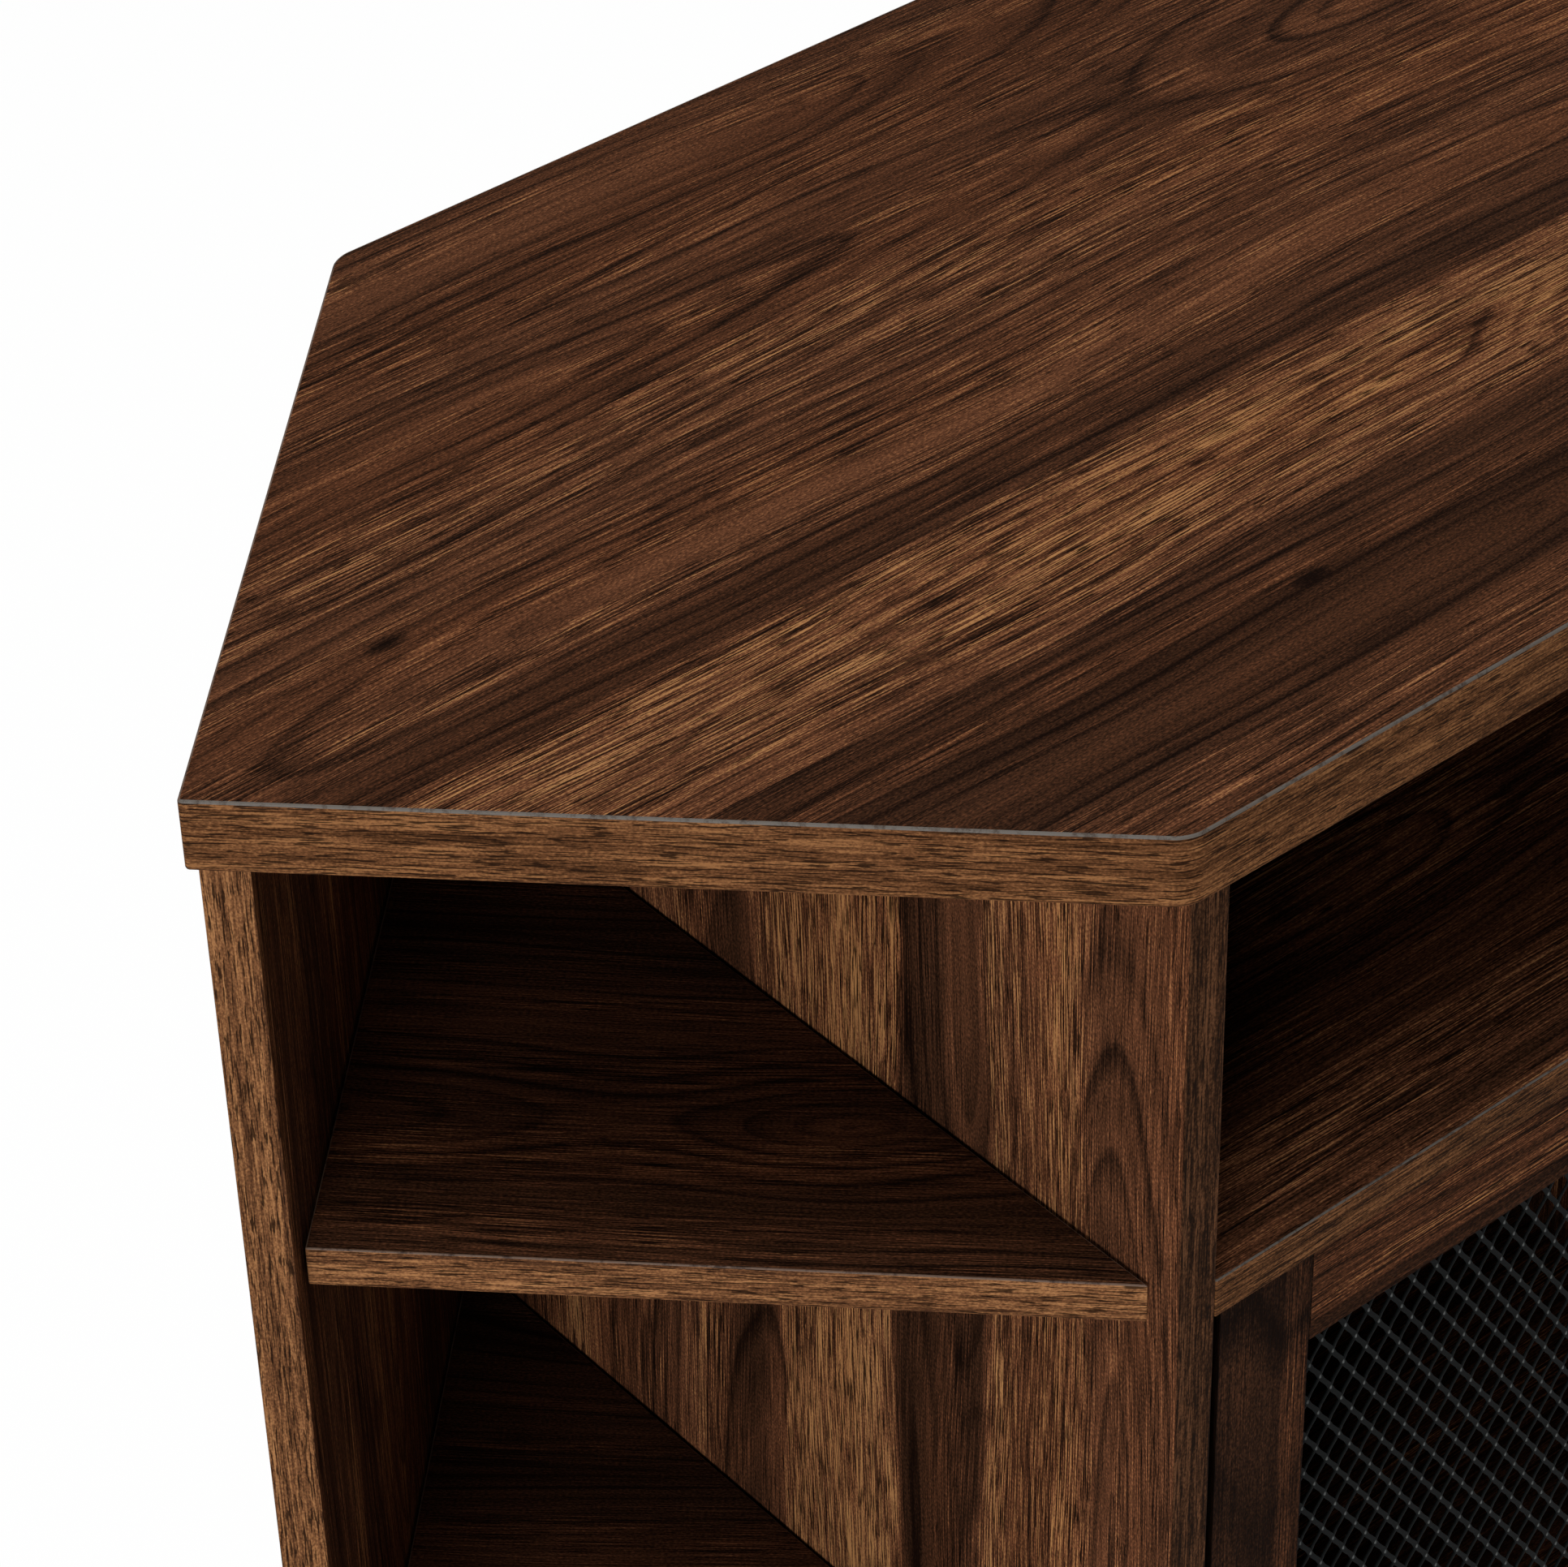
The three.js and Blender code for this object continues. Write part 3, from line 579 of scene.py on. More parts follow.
# The material slots of a laminated board; only the top has the fourth
on_faces, on_band, on_trim, on_far_trim = range(4)
for material in (top_faces, top_band, bright_trim_painted_highlight, dull_trim):
    top.data.materials.append(material)
select_edges(lambda edge: not is_upright(edge))
bpy.ops.mesh.bevel(offset=trim_width, segments=2, affect="EDGES", material=on_trim)
bpy.ops.object.mode_set(mode="OBJECT")
for face in top.data.polygons:
    if abs(face.normal.z) > 0.99:
        face.material_index = on_faces
    elif face.material_index != on_trim or face.center.z < (top_low.z + top_high.z) / 2:
        face.material_index = on_band
    # The trim on the top's back sides takes the dull copy; the front sides keep the brighter
    # painted highlight
    elif face.normal.y > 0.05:
        face.material_index = on_far_trim
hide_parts("top_panel")
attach(top, "cabinet")

# Uprights: two dividers, two side panels along the wings' back edges and the partition between
# the cupboards, all 15 mm laminated chipboard with a banded front edge and the grain upright.
merge_within, long_edge = 0.01 * mm, 5 * mm


def laminated(node, facing, faces, band, trim, bevel_mm=0.45):
    """A board from its CAD solid: merged, its flat faces joined and its long arrises eased. The
    faces that point along facing, and those that point down, are laminated and the rest banded."""
    board = bpy.data.objects.new(node + "_board", frame["nodes"][node].data.copy())
    bpy.context.scene.collection.objects.link(board)
    bpy.ops.object.select_all(action="DESELECT")
    bpy.context.view_layer.objects.active = board
    board.select_set(True)
    board.data.materials.clear()
    for material in (faces, band, trim):
        board.data.materials.append(material)
    bpy.ops.object.mode_set(mode="EDIT")
    bpy.ops.mesh.select_all(action="SELECT")
    bpy.ops.mesh.remove_doubles(threshold=merge_within)
    bpy.ops.mesh.dissolve_limited(angle_limit=math.radians(1))
    select_edges(lambda edge: (
        edge.is_manifold
        and edge.calc_length() > long_edge
        and edge.calc_face_angle() > math.radians(30)
    ))
    bpy.ops.mesh.bevel(offset=bevel_mm * mm, segments=2, affect="EDGES", material=on_trim)
    bpy.ops.object.mode_set(mode="OBJECT")
    for face in board.data.polygons:
        if abs(face.normal.dot(Vector(facing).normalized())) > 0.99 or face.normal.z < -0.99:
            face.material_index = on_faces
        elif face.material_index != on_trim or face.normal.z < 0.2:
            face.material_index = on_band
    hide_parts(node)
    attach(board, frame["nodes"][node]["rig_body"])
    return board


# The dividers' and partition's front edges take a darker band than the side panels': painted shade
# on these front-facing edges
post_band_painted_shade = edge_band("dark_band_upright_painted_shade", "upright", ("#180d07", "#3a2416", "#61402a"))
front_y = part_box("left_divider")[0].y
divider_stripes = [
    (0.0, 0.6), (0.03, 0.5), (0.08, 0.4), (0.13, 0.9), (0.18, 0.65), (0.22, 0.85),
    (0.245, 0.12), (0.28, 0.3), (0.32, 0.08), (0.335, 0.9), (0.37, 1.0), (0.42, 0.9),
    (0.47, 1.0), (0.5, 0.5), (0.53, 0.2), (0.6, 0.7), (0.7, 0.35), (0.8, 0.8), (0.9, 0.35),
    (1.0, 0.5),
]
divider_hearts = [
    (470, 152, 115, 0.13), (430, 27, 40, 0.12), (690, 100, 60, 0.12), (250, 90, 80, 0.12),
    (600, 290, 120, 0.1), (150, 200, 70, 0.14), (330, 300, 60, 0.12),
]
for side, sign in (("left", -1), ("right", 1)):
    upright = walnut_laminate(
        f"walnut_laminate_{side}_divider", (0, 0, 1), (0, 1, 0), (0, front_y, 0),
        stripes=divider_stripes, width_mm=390, hearts=divider_hearts, seed=(1 + sign) / 2,
    )
    laminated(f"{side}_divider", (1, 0, 0), upright, post_band_painted_shade, dull_trim)
    along_panel = Vector((-sign, 1, 0)).normalized()
    panel = walnut_laminate(
        f"walnut_laminate_{side}_panel", (0, 0, 1), along_panel,
        (sign * tip_x, middle_y, 0), seed=2.0 + sign,
    )
    laminated(f"{side}_side_panel", (sign, 1, 0), panel, upright_band, dull_trim)
# The partition's print is darkened by its shade value: painted shade for the dark inside of the
# cupboards
partition = walnut_laminate(
    "walnut_laminate_partition_painted_shade", (0, 0, 1), (0, 1, 0), (0, front_y, 0),
    shade=0.22, seed=4.0,
)
laminated("centre_partition", (1, 0, 0), partition, post_band_painted_shade, dull_trim)

# Level boards: the bottom, the fixed shelf over the doors and a fixed shelf in each cupboard,
# 15 mm laminated chipboard with the grain from side to side and the front edge banded.
# The bottom's and centre shelf's front edges take a darker band than the corner shelves': painted
# shade on these front-facing edges
shelf_band_painted_shade = edge_band("brown_band_level_painted_shade", "level", ("#2c1a10", "#543620", "#7d5536"))
# The inner shelves' band is near black and their print is darkened by its shade value: painted
# shade for the dark inside of the cupboards. The door rails' edges take the same near-black band.
inside_band_painted_shade = edge_band("dark_band_level_painted_shade", "level", ("#0d0704", "#20130c", "#352115"))
level = walnut_laminate(
    "walnut_laminate_level", (1, 0, 0), (0, 1, 0), (-corner_x, front_y, 0), seed=6.0
)
inside = walnut_laminate(
    "walnut_laminate_inside_painted_shade", (1, 0, 0), (0, 1, 0), (-corner_x, front_y, 0), shade=0.22, seed=7.0
)
laminated("bottom_panel", (0, 0, 1), level, shelf_band_painted_shade, bright_trim_painted_highlight)
laminated("centre_shelf", (0, 0, 1), level, shelf_band_painted_shade, bright_trim_painted_highlight, 0.5)
for side in ("left", "right"):
    laminated(f"{side}_inner_shelf", (0, 0, 1), inside, inside_band_painted_shade, dull_trim)

# Corner shelves: loose 15 mm boards in the wings, with the grain along the angled front edge,
# whose banded edge is eased at both ends.
for side, sign in (("left", -1), ("right", 1)):
    # The angled shelves' print darkens towards the back and overall by its shade value: painted
    # shade under the top, deepening towards the back of the wings
    angled = walnut_laminate(
        f"walnut_laminate_{side}_shelf", (1, sign, 0), (-sign, 1, 0),
        (sign * corner_x, front_y, 0),
        stripes=[
            (0.0, 0.3), (0.08, 0.5), (0.14, 0.25), (0.2, 0.55), (0.3, 0.3), (0.42, 0.4),
            (0.55, 0.15), (0.7, 0.2), (0.85, 0.0), (1.0, 0.1),
        ],
        width_mm=280, shade=0.06, seed=8.0 + sign,
    )
    for shelf in ("upper", "lower"):
        laminated(f"{side}_{shelf}_shelf", (0, 0, 1), angled, level_band, dull_trim, 0.5)

# Plinth: four kick boards of 15 mm laminated chipboard that stand on edge under the bottom
# board, three set back from its front and one flush with its back. Their grain runs level.
kick = walnut_laminate("walnut_laminate_kick", (1, 0, 0), (0, 0, 1), (0, 0, 0), seed=11.0)
laminated("front_kick_board", (0, 1, 0), kick, level_band, dull_trim)
laminated("back_kick_board", (0, 1, 0), kick, level_band, dull_trim)
for side, sign in (("left", -1), ("right", 1)):
    angled_kick = walnut_laminate(
        f"walnut_laminate_{side}_kick", (1, sign, 0), (0, 0, 1), (0, 0, 0), seed=13.0 + sign
    )
    laminated(f"{side}_kick_board", (sign, -1, 0), angled_kick, level_band, dull_trim)

# Back: 3 mm hardboard, pressed from wood fibre, printed walnut on the inside and plain mottled
# brown on the outside, and nailed to the boards' back edges.
# The print's stripes keep it darker than the other boards': painted shade for the dark backs of the
# bays and cupboards
printed = walnut_laminate(
    "walnut_printed_hardboard", (1, 0, 0), (0, 0, 1), (-corner_x, 0, 0),
    stripes=[
        (0.0, 0.25), (0.15, 0.4), (0.3, 0.15), (0.45, 0.35), (0.6, 0.1), (0.75, 0.3), (0.85, 0.1),
        (1.0, 0.3),
    ],
    width_mm=762, seed=16.0,
)
hardboard = bpy.data.materials.new("plain_hardboard")
hardboard.use_nodes = True
hardboard_tree = hardboard.node_tree
hardboard_tree.nodes.clear()
hardboard_place = add_node(hardboard_tree, "ShaderNodeTexCoord").outputs["Object"]
fibre_mm = 1.6
fibre_cloud = add_node(hardboard_tree, "ShaderNodeTexNoise", None, {
    "Vector": hardboard_place,
    "Scale": 1000 / fibre_mm,
    "Detail": 4,
    "Roughness": 0.7,
}).outputs["Fac"]
hardboard_tones = add_node(hardboard_tree, "ShaderNodeValToRGB", None, {"Fac": fibre_cloud})
fill_ramp(hardboard_tones.color_ramp, [(0.3, "#6a4b33"), (0.5, "#7f5d41"), (0.7, "#926f50")])
hardboard_relief = add_node(hardboard_tree, "ShaderNodeBump", None, {
    "Strength": 0.3,
    "Distance": 0.1 * mm,
    "Height": fibre_cloud,
}).outputs["Normal"]
hardboard_shader = add_node(hardboard_tree, "ShaderNodeBsdfPrincipled", None, {
    "Base Color": hardboard_tones.outputs[0],
    "Roughness": 0.7,
    "Specular IOR Level": 0.2,
    "Normal": hardboard_relief,
})
add_node(hardboard_tree, "ShaderNodeOutputMaterial", None, {
    "Surface": hardboard_shader.outputs[0],
})
back = laminated("back_panel", (0, 1, 0), printed, hardboard, hardboard, 0.2)
for face in back.data.polygons:
    if face.normal.y > 0.99:
        face.material_index = on_band

# Doors: frames of 15 mm laminated board, two upright stiles with two rails between them, each
# with a groove in its inner edge that holds the mesh. The grain runs along each piece. The
# hinge stile's edges are near black, a painted shadow beside the narrow gap at the divider.
# The meeting stiles' edges take a near-black band: painted shade in the gap between the doors
door_band_painted_shade = edge_band("dark_band_doors_painted_shade", "upright", ("#0d0704", "#20130c", "#352115"))
gap_band_painted_shadow = edge_band("black_band_doors_painted_shadow", "upright", ("#040201", "#090503", "#120b07"))
for side, sign in (("left", -1), ("right", 1)):
    hinge_low, hinge_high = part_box(f"{side}_door_hinge_stile")
    outer_x = hinge_low.x if sign < 0 else hinge_high.x
    # The hinge stile's print is darkened by its shade value: painted shade on the front-facing
    # stile
    stile = walnut_laminate(
        f"walnut_laminate_{side}_hinge_stile", (0, 0, 1), (-sign, 0, 0), (outer_x, 0, 0),
        stripes=[
            (0.0, 0.05), (0.3, 0.08), (0.55, 0.04), (0.66, 0.0), (0.7, 0.0), (0.72, 0.3),
            (0.82, 0.45), (0.9, 0.3), (1.0, 0.25),
        ],
        width_mm=39, hearts=[(0, -20, 900, 0.1)], shade=0.12, seed=18.0 + sign,
    )
    laminated(f"{side}_door_hinge_stile", (0, 1, 0), stile, gap_band_painted_shadow, gap_band_painted_shadow, 0.3)
    meeting = walnut_laminate(
        f"walnut_laminate_{side}_meeting_stile", (0, 0, 1), (-sign, 0, 0), (0, 0, 0),
        seed=21.0 + sign,
    )
    laminated(f"{side}_door_meeting_stile", (0, 1, 0), meeting, door_band_painted_shade, dull_trim, 0.3)
    rail_low, rail_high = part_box(f"{side}_door_top_rail")
    rail = walnut_laminate(
        f"walnut_laminate_{side}_top_rail", (1, 0, 0), (0, 0, -1), (rail_low.x, 0, rail_high.z),
        stripes=[
            (0.0, 0.2), (0.15, 0.5), (0.4, 0.3), (0.6, 0.65), (0.76, 0.5), (0.8, 0.0),
            (0.88, 0.0), (0.92, 0.15), (1.0, 0.0),
        ],
        width_mm=38, seed=24.0 + sign,
    )
    laminated(f"{side}_door_top_rail", (0, 1, 0), rail, inside_band_painted_shade, dull_trim, 0.3)
    lower = walnut_laminate(
        f"walnut_laminate_{side}_bottom_rail", (1, 0, 0), (0, 0, 1), (0, 0, 0), seed=27.0 + sign
    )
    laminated(f"{side}_door_bottom_rail", (0, 1, 0), lower, inside_band_painted_shade, dull_trim, 0.3)

# Door mesh: expanded steel sheet, powder coated charcoal. Its strands cross in long diamonds,
# 10.2 by 16 mm, those that fall to the right standing proud of the others. A small painted
# highlight lightens the coat on each crossing.
cell_width, cell_height = 10.2 * mm, 16 * mm
crossing_x, crossing_z = -326.2 * mm, 470.4 * mm
full_turn = 2 * math.pi
coats = {}
for label, painted_highlight in (("charcoal_powder_coat", 0.0), ("charcoal_coat_painted_highlight", 1.0)):
    coats[label] = bpy.data.materials.new(label)
    coats[label].use_nodes = True
    coat_tree = coats[label].node_tree
    coat_tree.nodes.clear()
    coat_place = add_node(coat_tree, "ShaderNodeTexCoord").outputs["Object"]
    orange_peel_mm = 0.5
    coat_peel = add_node(coat_tree, "ShaderNodeTexNoise", None, {
        "Vector": coat_place,
        "Scale": 1000 / orange_peel_mm,
        "Detail": 2,
    }).outputs["Fac"]
    coat_tones = add_node(coat_tree, "ShaderNodeValToRGB", None, {"Fac": coat_peel})
    fill_ramp(coat_tones.color_ramp, [(0.3, "#080a0a"), (0.6, "#0b0d0d"), (0.8, "#141717")])
    # The product of two cosines is 1 on every crossing of the lattice and falls off round it;
    # it places the painted highlights
    highlight_spot = 1.0
    for axis, crossing, cell in (("X", crossing_x, cell_width), ("Z", crossing_z, cell_height)):
        along = add_node(coat_tree, "ShaderNodeSeparateXYZ", None, {0: coat_place}).outputs[axis]
        turned = add_node(coat_tree, "ShaderNodeMath", {"operation": "MULTIPLY_ADD"}, {
            0: along,
            1: full_turn / cell,
            2: -full_turn * crossing / cell,
        }).outputs[0]
        wave = add_node(coat_tree, "ShaderNodeMath", {"operation": "COSINE"}, {0: turned})
        highlight_spot = add_node(coat_tree, "ShaderNodeMath", {"operation": "MULTIPLY"}, {
            0: wave.outputs[0],
            1: highlight_spot,
        }).outputs[0]
    highlight_spot = add_node(coat_tree, "ShaderNodeMapRange", {"clamp": True}, {
        "Value": highlight_spot,
        "From Min": 0.93,
        "From Max": 0.98,
        "To Max": painted_highlight,
    }).outputs["Result"]
    # The painted highlight mixes a light grey into the coat on each crossing; the plain coat gets
    # none
    coat_colour = add_node(coat_tree, "ShaderNodeMix", {"data_type": "RGBA"}, {
        0: highlight_spot,
        6: coat_tones.outputs[0],
        7: linear("#5a5c5b"),
    }).outputs[2]
    coat_relief = add_node(coat_tree, "ShaderNodeBump", None, {
        "Strength": 0.2,
        "Distance": 0.05 * mm,
        "Height": coat_peel,
    }).outputs["Normal"]
    coat_shader = add_node(coat_tree, "ShaderNodeBsdfPrincipled", None, {
        "Base Color": coat_colour,
        "Roughness": 0.35,
        "Specular IOR Level": 0.015,
        "Normal": coat_relief,
    })
    add_node(coat_tree, "ShaderNodeOutputMaterial", None, {"Surface": coat_shader.outputs[0]})

for side in ("left", "right"):
    sheet_low, sheet_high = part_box(f"{side}_door_mesh")
    first_x = sheet_low.x - (sheet_low.x - crossing_x) % cell_width
    first_z = sheet_low.z - (sheet_low.z - crossing_z) % cell_height
    columns = math.ceil((sheet_high.x - first_x) / cell_width)
    rows = math.ceil((sheet_high.z - first_z) / cell_height)
    middle = (sheet_low.y + sheet_high.y) / 2
    strands = []
    for falls, half_width, half_thickness, bend, shift, back in (
        (True, 1.25 * mm, 0.5 * mm, 0.35, 0, -0.2 * mm),
        (False, 1.0 * mm, 0.45 * mm, 0.45, 0.45 * mm, 0.15 * mm),
    ):
        bpy.ops.object.select_all(action="DESELECT")
        bpy.ops.mesh.primitive_cylinder_add(
            vertices=6, radius=1, depth=cell_height, end_fill_type="NOTHING",
        )
        strand = bpy.context.object
        bpy.ops.object.mode_set(mode="EDIT")
        bpy.ops.mesh.select_all(action="SELECT")
        select_edges(is_upright)
        bpy.ops.mesh.subdivide(number_cuts=7)
        bpy.ops.object.mode_set(mode="OBJECT")
        # A strand stands steeper on its crossings and leans more between them
        for vertex in strand.data.vertices:
            run = vertex.co.z / cell_height * 2
            swing = math.sin(full_turn * run) / full_turn * bend
            aside = (run - swing) * cell_width / 2
            vertex.co = (
                first_x + shift + vertex.co.x * half_width - (aside if falls else -aside),
                middle + vertex.co.y * half_thickness + back,
                first_z + vertex.co.z,
            )
        strands.append(strand)
    bpy.ops.object.select_all(action="DESELECT")
    for strand in strands:
        strand.select_set(True)
    bpy.context.view_layer.objects.active = strands[0]
    bpy.ops.object.join()
    mesh = bpy.context.object
    mesh.name = f"{side}_door_expanded_mesh"
    for axis, count, step in ((0, columns + 1, cell_width), (2, rows + 1, cell_height)):
        repeat = mesh.modifiers.new("repeat", "ARRAY")
        repeat.use_relative_offset = False
        repeat.use_constant_offset = True
        repeat.constant_offset_displace = [step if index == axis else 0 for index in range(3)]
        repeat.count = count
        bpy.ops.object.modifier_apply(modifier=repeat.name)
    # The lattice is cut off square at the sheet's four edges
    bpy.ops.object.mode_set(mode="EDIT")
    for point, normal in (
        (sheet_low, (-1, 0, 0)), (sheet_high, (1, 0, 0)),
        (sheet_low, (0, 0, -1)), (sheet_high, (0, 0, 1)),
    ):
        bpy.ops.mesh.select_all(action="SELECT")
        bpy.ops.mesh.bisect(plane_co=point, plane_no=normal, clear_outer=True, use_fill=True)
    bpy.ops.object.mode_set(mode="OBJECT")
    bpy.ops.object.shade_smooth_by_angle(angle=math.radians(70))
    mesh.data.materials.append(coats["charcoal_coat_painted_highlight"])
    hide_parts(f"{side}_door_mesh")
    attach(mesh, f"{side}_door")

# Pulls: 8 mm steel rod, bent square at both ends and powder coated like the mesh. One is
# screwed to each meeting stile from behind.
rod_radius, bend_radius = 4 * mm, 11 * mm
for side in ("left", "right"):
    pull_low, pull_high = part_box(f"{side}_door_pull")
    rod_x = (pull_low.x + pull_high.x) / 2
    run_y = pull_low.y + rod_radius
    foot_z, head_z = pull_low.z + rod_radius, pull_high.z - rod_radius
    reach = pull_high.y - run_y - bend_radius
    bpy.ops.object.select_all(action="DESELECT")
    bpy.ops.mesh.primitive_circle_add(
        vertices=24, radius=rod_radius, location=(rod_x, pull_high.y, foot_z),
        rotation=(math.pi / 2, 0, 0),
    )
    pull = bpy.context.object
    pull.name = f"{side}_door_pull_rod"
    bpy.ops.object.transform_apply(location=True, rotation=True, scale=True)
    bpy.ops.object.mode_set(mode="EDIT")
    bpy.ops.mesh.select_all(action="SELECT")
    bpy.ops.mesh.extrude_region_move(TRANSFORM_OT_translate={"value": (0, -reach, 0)})
    bpy.ops.mesh.spin(
        steps=8, angle=math.pi / 2, axis=(1, 0, 0),
        center=(rod_x, run_y + bend_radius, foot_z + bend_radius),
    )
    bpy.ops.mesh.extrude_region_move(
        TRANSFORM_OT_translate={"value": (0, 0, head_z - foot_z - 2 * bend_radius)}
    )
    bpy.ops.mesh.spin(
        steps=8, angle=math.pi / 2, axis=(1, 0, 0),
        center=(rod_x, run_y + bend_radius, head_z - bend_radius),
    )
    bpy.ops.mesh.extrude_region_move(TRANSFORM_OT_translate={"value": (0, reach, 0)})
    select_edges(lambda edge: edge.is_boundary)
    bpy.ops.mesh.edge_face_add()
    bpy.ops.mesh.select_all(action="SELECT")
    bpy.ops.mesh.remove_doubles(threshold=merge_within)
    bpy.ops.mesh.normals_make_consistent(inside=False)
    bpy.ops.object.mode_set(mode="OBJECT")
    bpy.ops.object.shade_smooth_by_angle(angle=math.radians(40))
    pull.data.materials.append(coats["charcoal_powder_coat"])
    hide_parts(f"{side}_door_pull")
    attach(pull, f"{side}_door")

# Steel fittings: shelf pins and pivot pins turned from mild steel, and strike plates stamped
# from sheet. All are zinc plated, which leaves them bright with a faint cloud in the shine.
zinc = bpy.data.materials.new("bright_zinc_plate")
zinc.use_nodes = True
zinc_tree = zinc.node_tree
zinc_tree.nodes.clear()
zinc_place = add_node(zinc_tree, "ShaderNodeTexCoord").outputs["Object"]
clouds_per_metre = 900
zinc_cloud = add_node(zinc_tree, "ShaderNodeTexNoise", None, {
    "Vector": zinc_place,
    "Scale": clouds_per_metre,
    "Detail": 3,
}).outputs["Fac"]
zinc_tones = add_node(zinc_tree, "ShaderNodeValToRGB", None, {"Fac": zinc_cloud})
fill_ramp(zinc_tones.color_ramp, [(0.3, "#a4a7aa"), (0.7, "#c6c8c9")])
zinc_shader = add_node(zinc_tree, "ShaderNodeBsdfPrincipled", None, {
    "Base Color": zinc_tones.outputs[0],
    "Metallic": 1.0,
    "Roughness": 0.3,
})
add_node(zinc_tree, "ShaderNodeOutputMaterial", None, {"Surface": zinc_shader.outputs[0]})
for name, node in frame["nodes"].items():
    if "pin" in name or "strike_plate" in name:
        node.data.materials.clear()
        node.data.materials.append(zinc)

# Back nails: steel nails, zinc plated too, that hold the hardboard to the boards' back edges,
# two rows across and three rows up. Only their round heads stand out.
back_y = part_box("back_panel")[1].y
nail_radius, nail_height, nail_sunk, nail_rounding = 1.9 * mm, 0.5 * mm, 0.2 * mm, 0.3 * mm
step_across_mm, lowest_mm, step_up_mm = 90, 40, 94
nail_places = []
for board in ("bottom_panel", "centre_shelf"):
    board_low, board_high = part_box(board)
    nail_places += [
        (step * step_across_mm * mm, (board_low.z + board_high.z) / 2) for step in range(-4, 5)
    ]
for board, count in (("left_divider", 7), ("right_divider", 7), ("centre_partition", 5)):
    board_low, board_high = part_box(board)
    nail_places += [
        ((board_low.x + board_high.x) / 2, board_low.z + (lowest_mm + step * step_up_mm) * mm)
        for step in range(count)
    ]
bpy.ops.object.select_all(action="DESELECT")
nails = []
for x, z in nail_places:
    bpy.ops.mesh.primitive_cylinder_add(
        vertices=12, radius=nail_radius, depth=nail_height + nail_sunk,
        location=(x, back_y + (nail_height - nail_sunk) / 2, z),
        rotation=(math.pi / 2, 0, 0),
    )
    nails.append(bpy.context.object)
for nail in nails:
    nail.select_set(True)
bpy.context.view_layer.objects.active = nails[0]
bpy.ops.object.join()
nails = bpy.context.object
nails.name = "back_nails"
bpy.ops.object.transform_apply(location=True, rotation=True, scale=True)
bpy.ops.object.mode_set(mode="EDIT")
select_edges(lambda edge: min(vertex.co.y for vertex in edge.verts) > back_y)
bpy.ops.mesh.bevel(offset=nail_rounding, segments=2, affect="EDGES")
bpy.ops.object.mode_set(mode="OBJECT")
nails.data.materials.append(zinc)
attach(nails, "cabinet")

# Plastic fittings: pivot bushes of natural nylon, pressed into the bottom board, and the
# catches and glides of brown polypropylene. All are moulded, matt with a fine sparked grain.
for label, words, light, dark in (
    ("natural_nylon", ("bush",), "#e4e1d8", "#d2cdc0"),
    ("brown_polypropylene", ("catch", "glide"), "#3f2d22", "#302118"),
):
    plastic = bpy.data.materials.new(label)
    plastic.use_nodes = True
    plastic_tree = plastic.node_tree
    plastic_tree.nodes.clear()
    plastic_place = add_node(plastic_tree, "ShaderNodeTexCoord").outputs["Object"]
    spark_mm = 0.6
    moulded = add_node(plastic_tree, "ShaderNodeTexNoise", None, {
        "Vector": plastic_place,
        "Scale": 1000 / spark_mm,
        "Detail": 2,
    }).outputs["Fac"]
    plastic_tones = add_node(plastic_tree, "ShaderNodeValToRGB", None, {"Fac": moulded})
    fill_ramp(plastic_tones.color_ramp, [(0.3, dark), (0.7, light)])
    plastic_relief = add_node(plastic_tree, "ShaderNodeBump", None, {
        "Strength": 0.3,
        "Distance": 0.05 * mm,
        "Height": moulded,
    }).outputs["Normal"]
    plastic_shader = add_node(plastic_tree, "ShaderNodeBsdfPrincipled", None, {
        "Base Color": plastic_tones.outputs[0],
        "Roughness": 0.5,
        "Normal": plastic_relief,
    })
    add_node(plastic_tree, "ShaderNodeOutputMaterial", None, {
        "Surface": plastic_shader.outputs[0],
    })
    for name, node in frame["nodes"].items():
        if any(word in name for word in words):
            node.data.materials.clear()
            node.data.materials.append(plastic)

# Studio: a pale floor and a sky that both show white, a broad soft lamp overhead, one from the
# front left, and a weak one low on the right for the sides that the photo doesn't show.
bpy.ops.object.select_all(action="DESELECT")
bpy.ops.mesh.primitive_plane_add(size=12, location=(0, 0, 0))
floor = bpy.context.object
floor.name = "studio_floor"
floor_paint = bpy.data.materials.new("studio_floor_white")
floor_paint.use_nodes = True
floor_tree = floor_paint.node_tree
floor_tree.nodes.clear()
rays = add_node(floor_tree, "ShaderNodeLightPath")
seen = add_node(floor_tree, "ShaderNodeMath", {"operation": "MAXIMUM"}, {
    0: rays.outputs["Is Camera Ray"],
    1: rays.outputs["Is Glossy Ray"],
})
floor_glow = 0.985
white_share = add_node(floor_tree, "ShaderNodeMath", {"operation": "MULTIPLY"}, {
    0: seen.outputs[0],
    1: floor_glow,
})
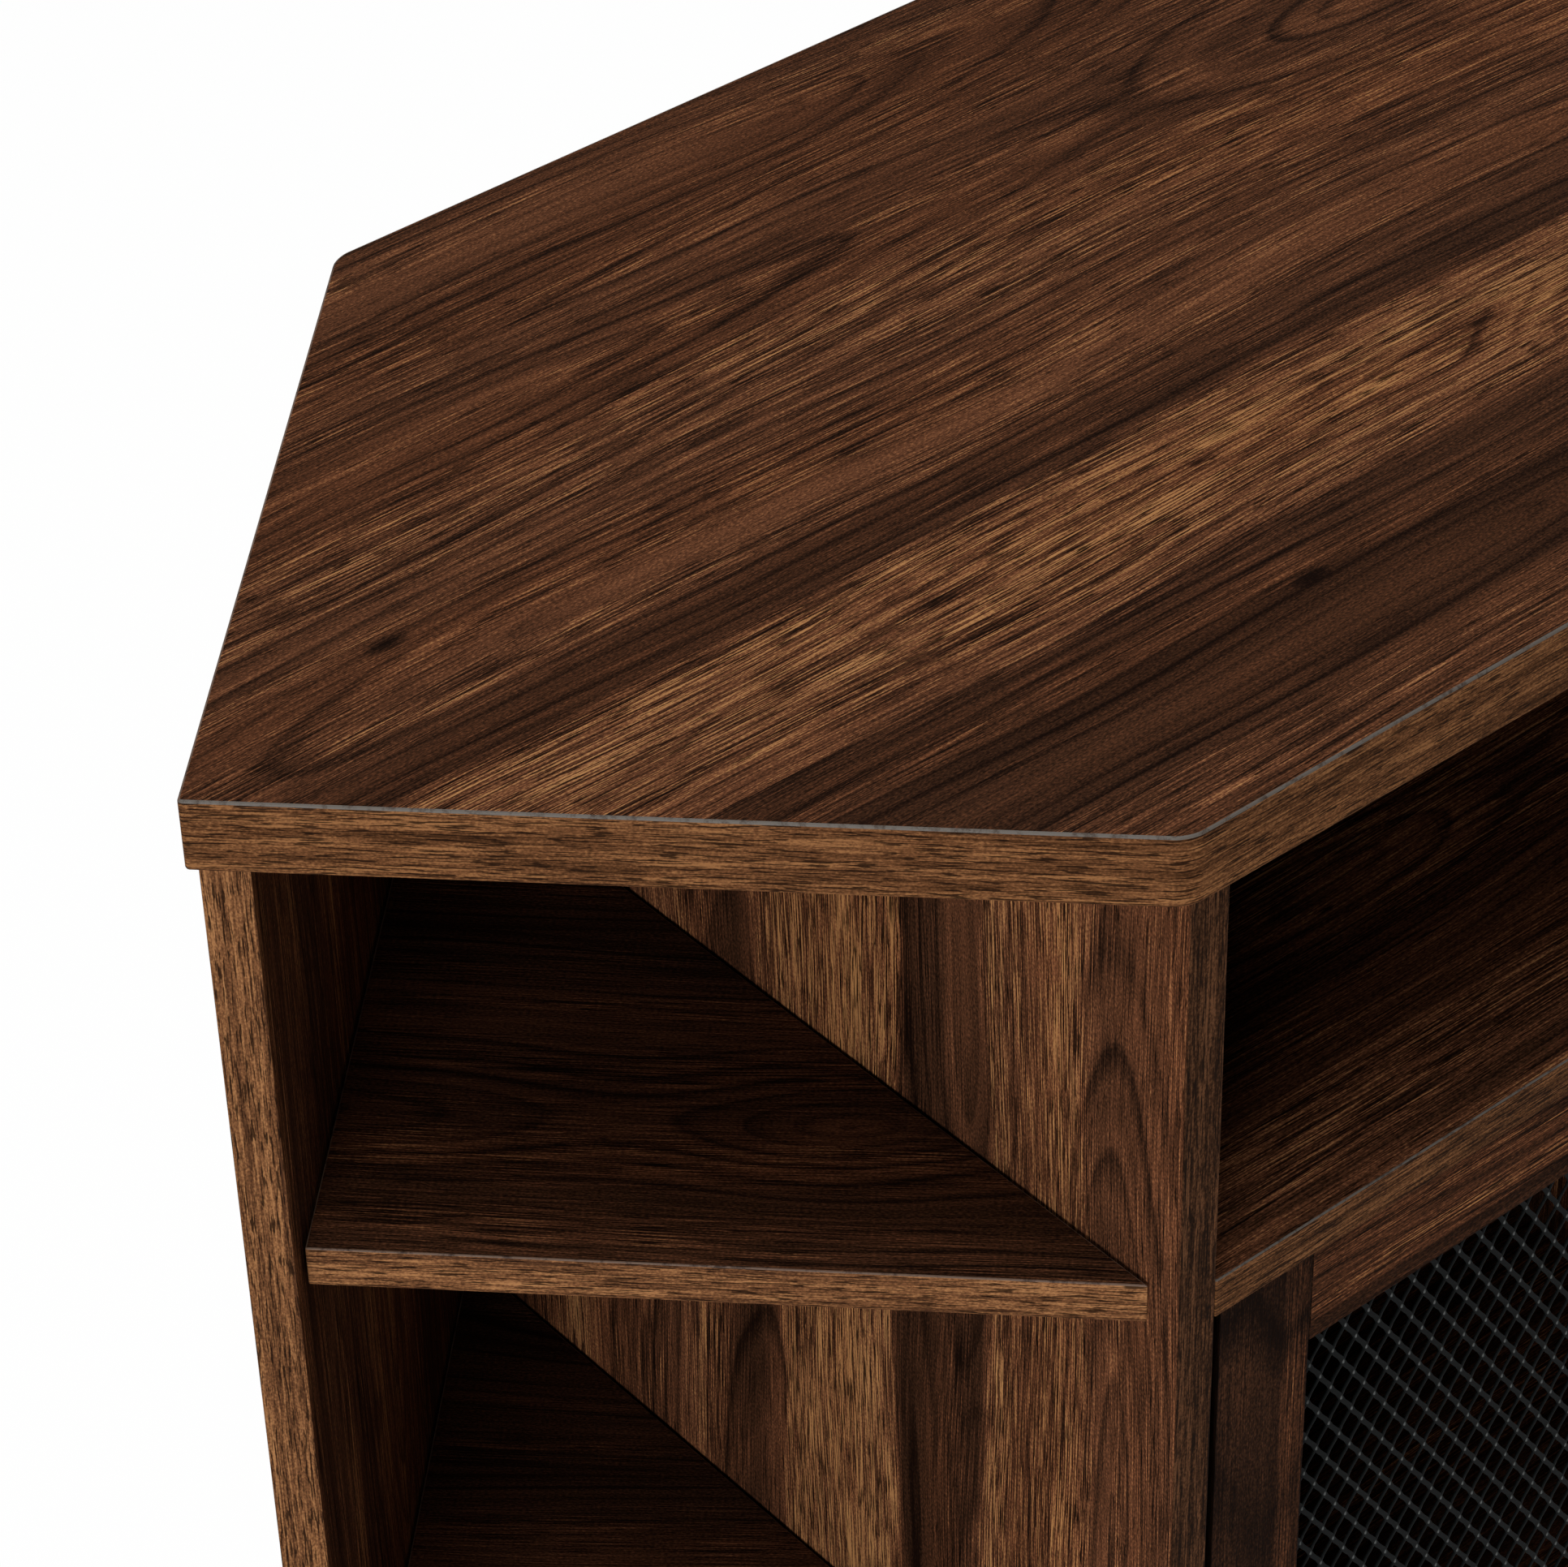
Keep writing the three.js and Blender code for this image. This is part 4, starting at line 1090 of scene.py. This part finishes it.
painted = add_node(floor_tree, "ShaderNodeBsdfDiffuse", None, {"Color": linear("#e6e6e4")})
glow = add_node(floor_tree, "ShaderNodeEmission", None, {"Color": (1, 1, 1, 1), "Strength": 1})
mixed = add_node(floor_tree, "ShaderNodeMixShader", None, {
    0: white_share.outputs[0],
    1: painted.outputs[0],
    2: glow.outputs[0],
})
add_node(floor_tree, "ShaderNodeOutputMaterial", None, {"Surface": mixed.outputs[0]})
floor.data.materials.append(floor_paint)

world = bpy.data.worlds.new("studio")
bpy.context.scene.world = world
world.use_nodes = True
sky_tree = world.node_tree
sky_tree.nodes.clear()
sky_rays = add_node(sky_tree, "ShaderNodeLightPath")
sky_seen = add_node(sky_tree, "ShaderNodeMath", {"operation": "MAXIMUM"}, {
    0: sky_rays.outputs["Is Camera Ray"],
    1: sky_rays.outputs["Is Transmission Ray"],
})
sky_all = add_node(sky_tree, "ShaderNodeMath", {"operation": "MAXIMUM"}, {
    0: sky_seen.outputs[0],
    1: sky_rays.outputs["Is Glossy Ray"],
})
fill_light = 0.04
sky_strength = add_node(sky_tree, "ShaderNodeMapRange", None, {
    "Value": sky_all.outputs[0],
    "To Min": fill_light,
    "To Max": 1.0,
})
sky = add_node(sky_tree, "ShaderNodeBackground", None, {
    "Color": (1, 1, 1, 1),
    "Strength": sky_strength.outputs[0],
})
add_node(sky_tree, "ShaderNodeOutputWorld", None, {"Surface": sky.outputs[0]})

aim = Vector((-0.3, 0, 0.6))
for name, place, size, power in (
    ("overhead_softbox", (-0.6, -0.15, 3.1), 1.8, 59),
    ("front_left_softbox", (-2.7, -1.65, 0.98), 1.3, 68),
    ("right_softbox", (2.9, 0.35, 0.6), 0.9, 24),
):
    lamp = bpy.data.objects.new(name, bpy.data.lights.new(name, "AREA"))
    lamp.data.size = size
    lamp.data.energy = power
    lamp.matrix_world = Matrix.Translation(place) @ (
        (aim - Vector(place)).to_track_quat("-Z", "Y").to_matrix().to_4x4()
    )
    bpy.context.scene.collection.objects.link(lamp)
bpy.context.scene.view_settings.view_transform = "Standard"
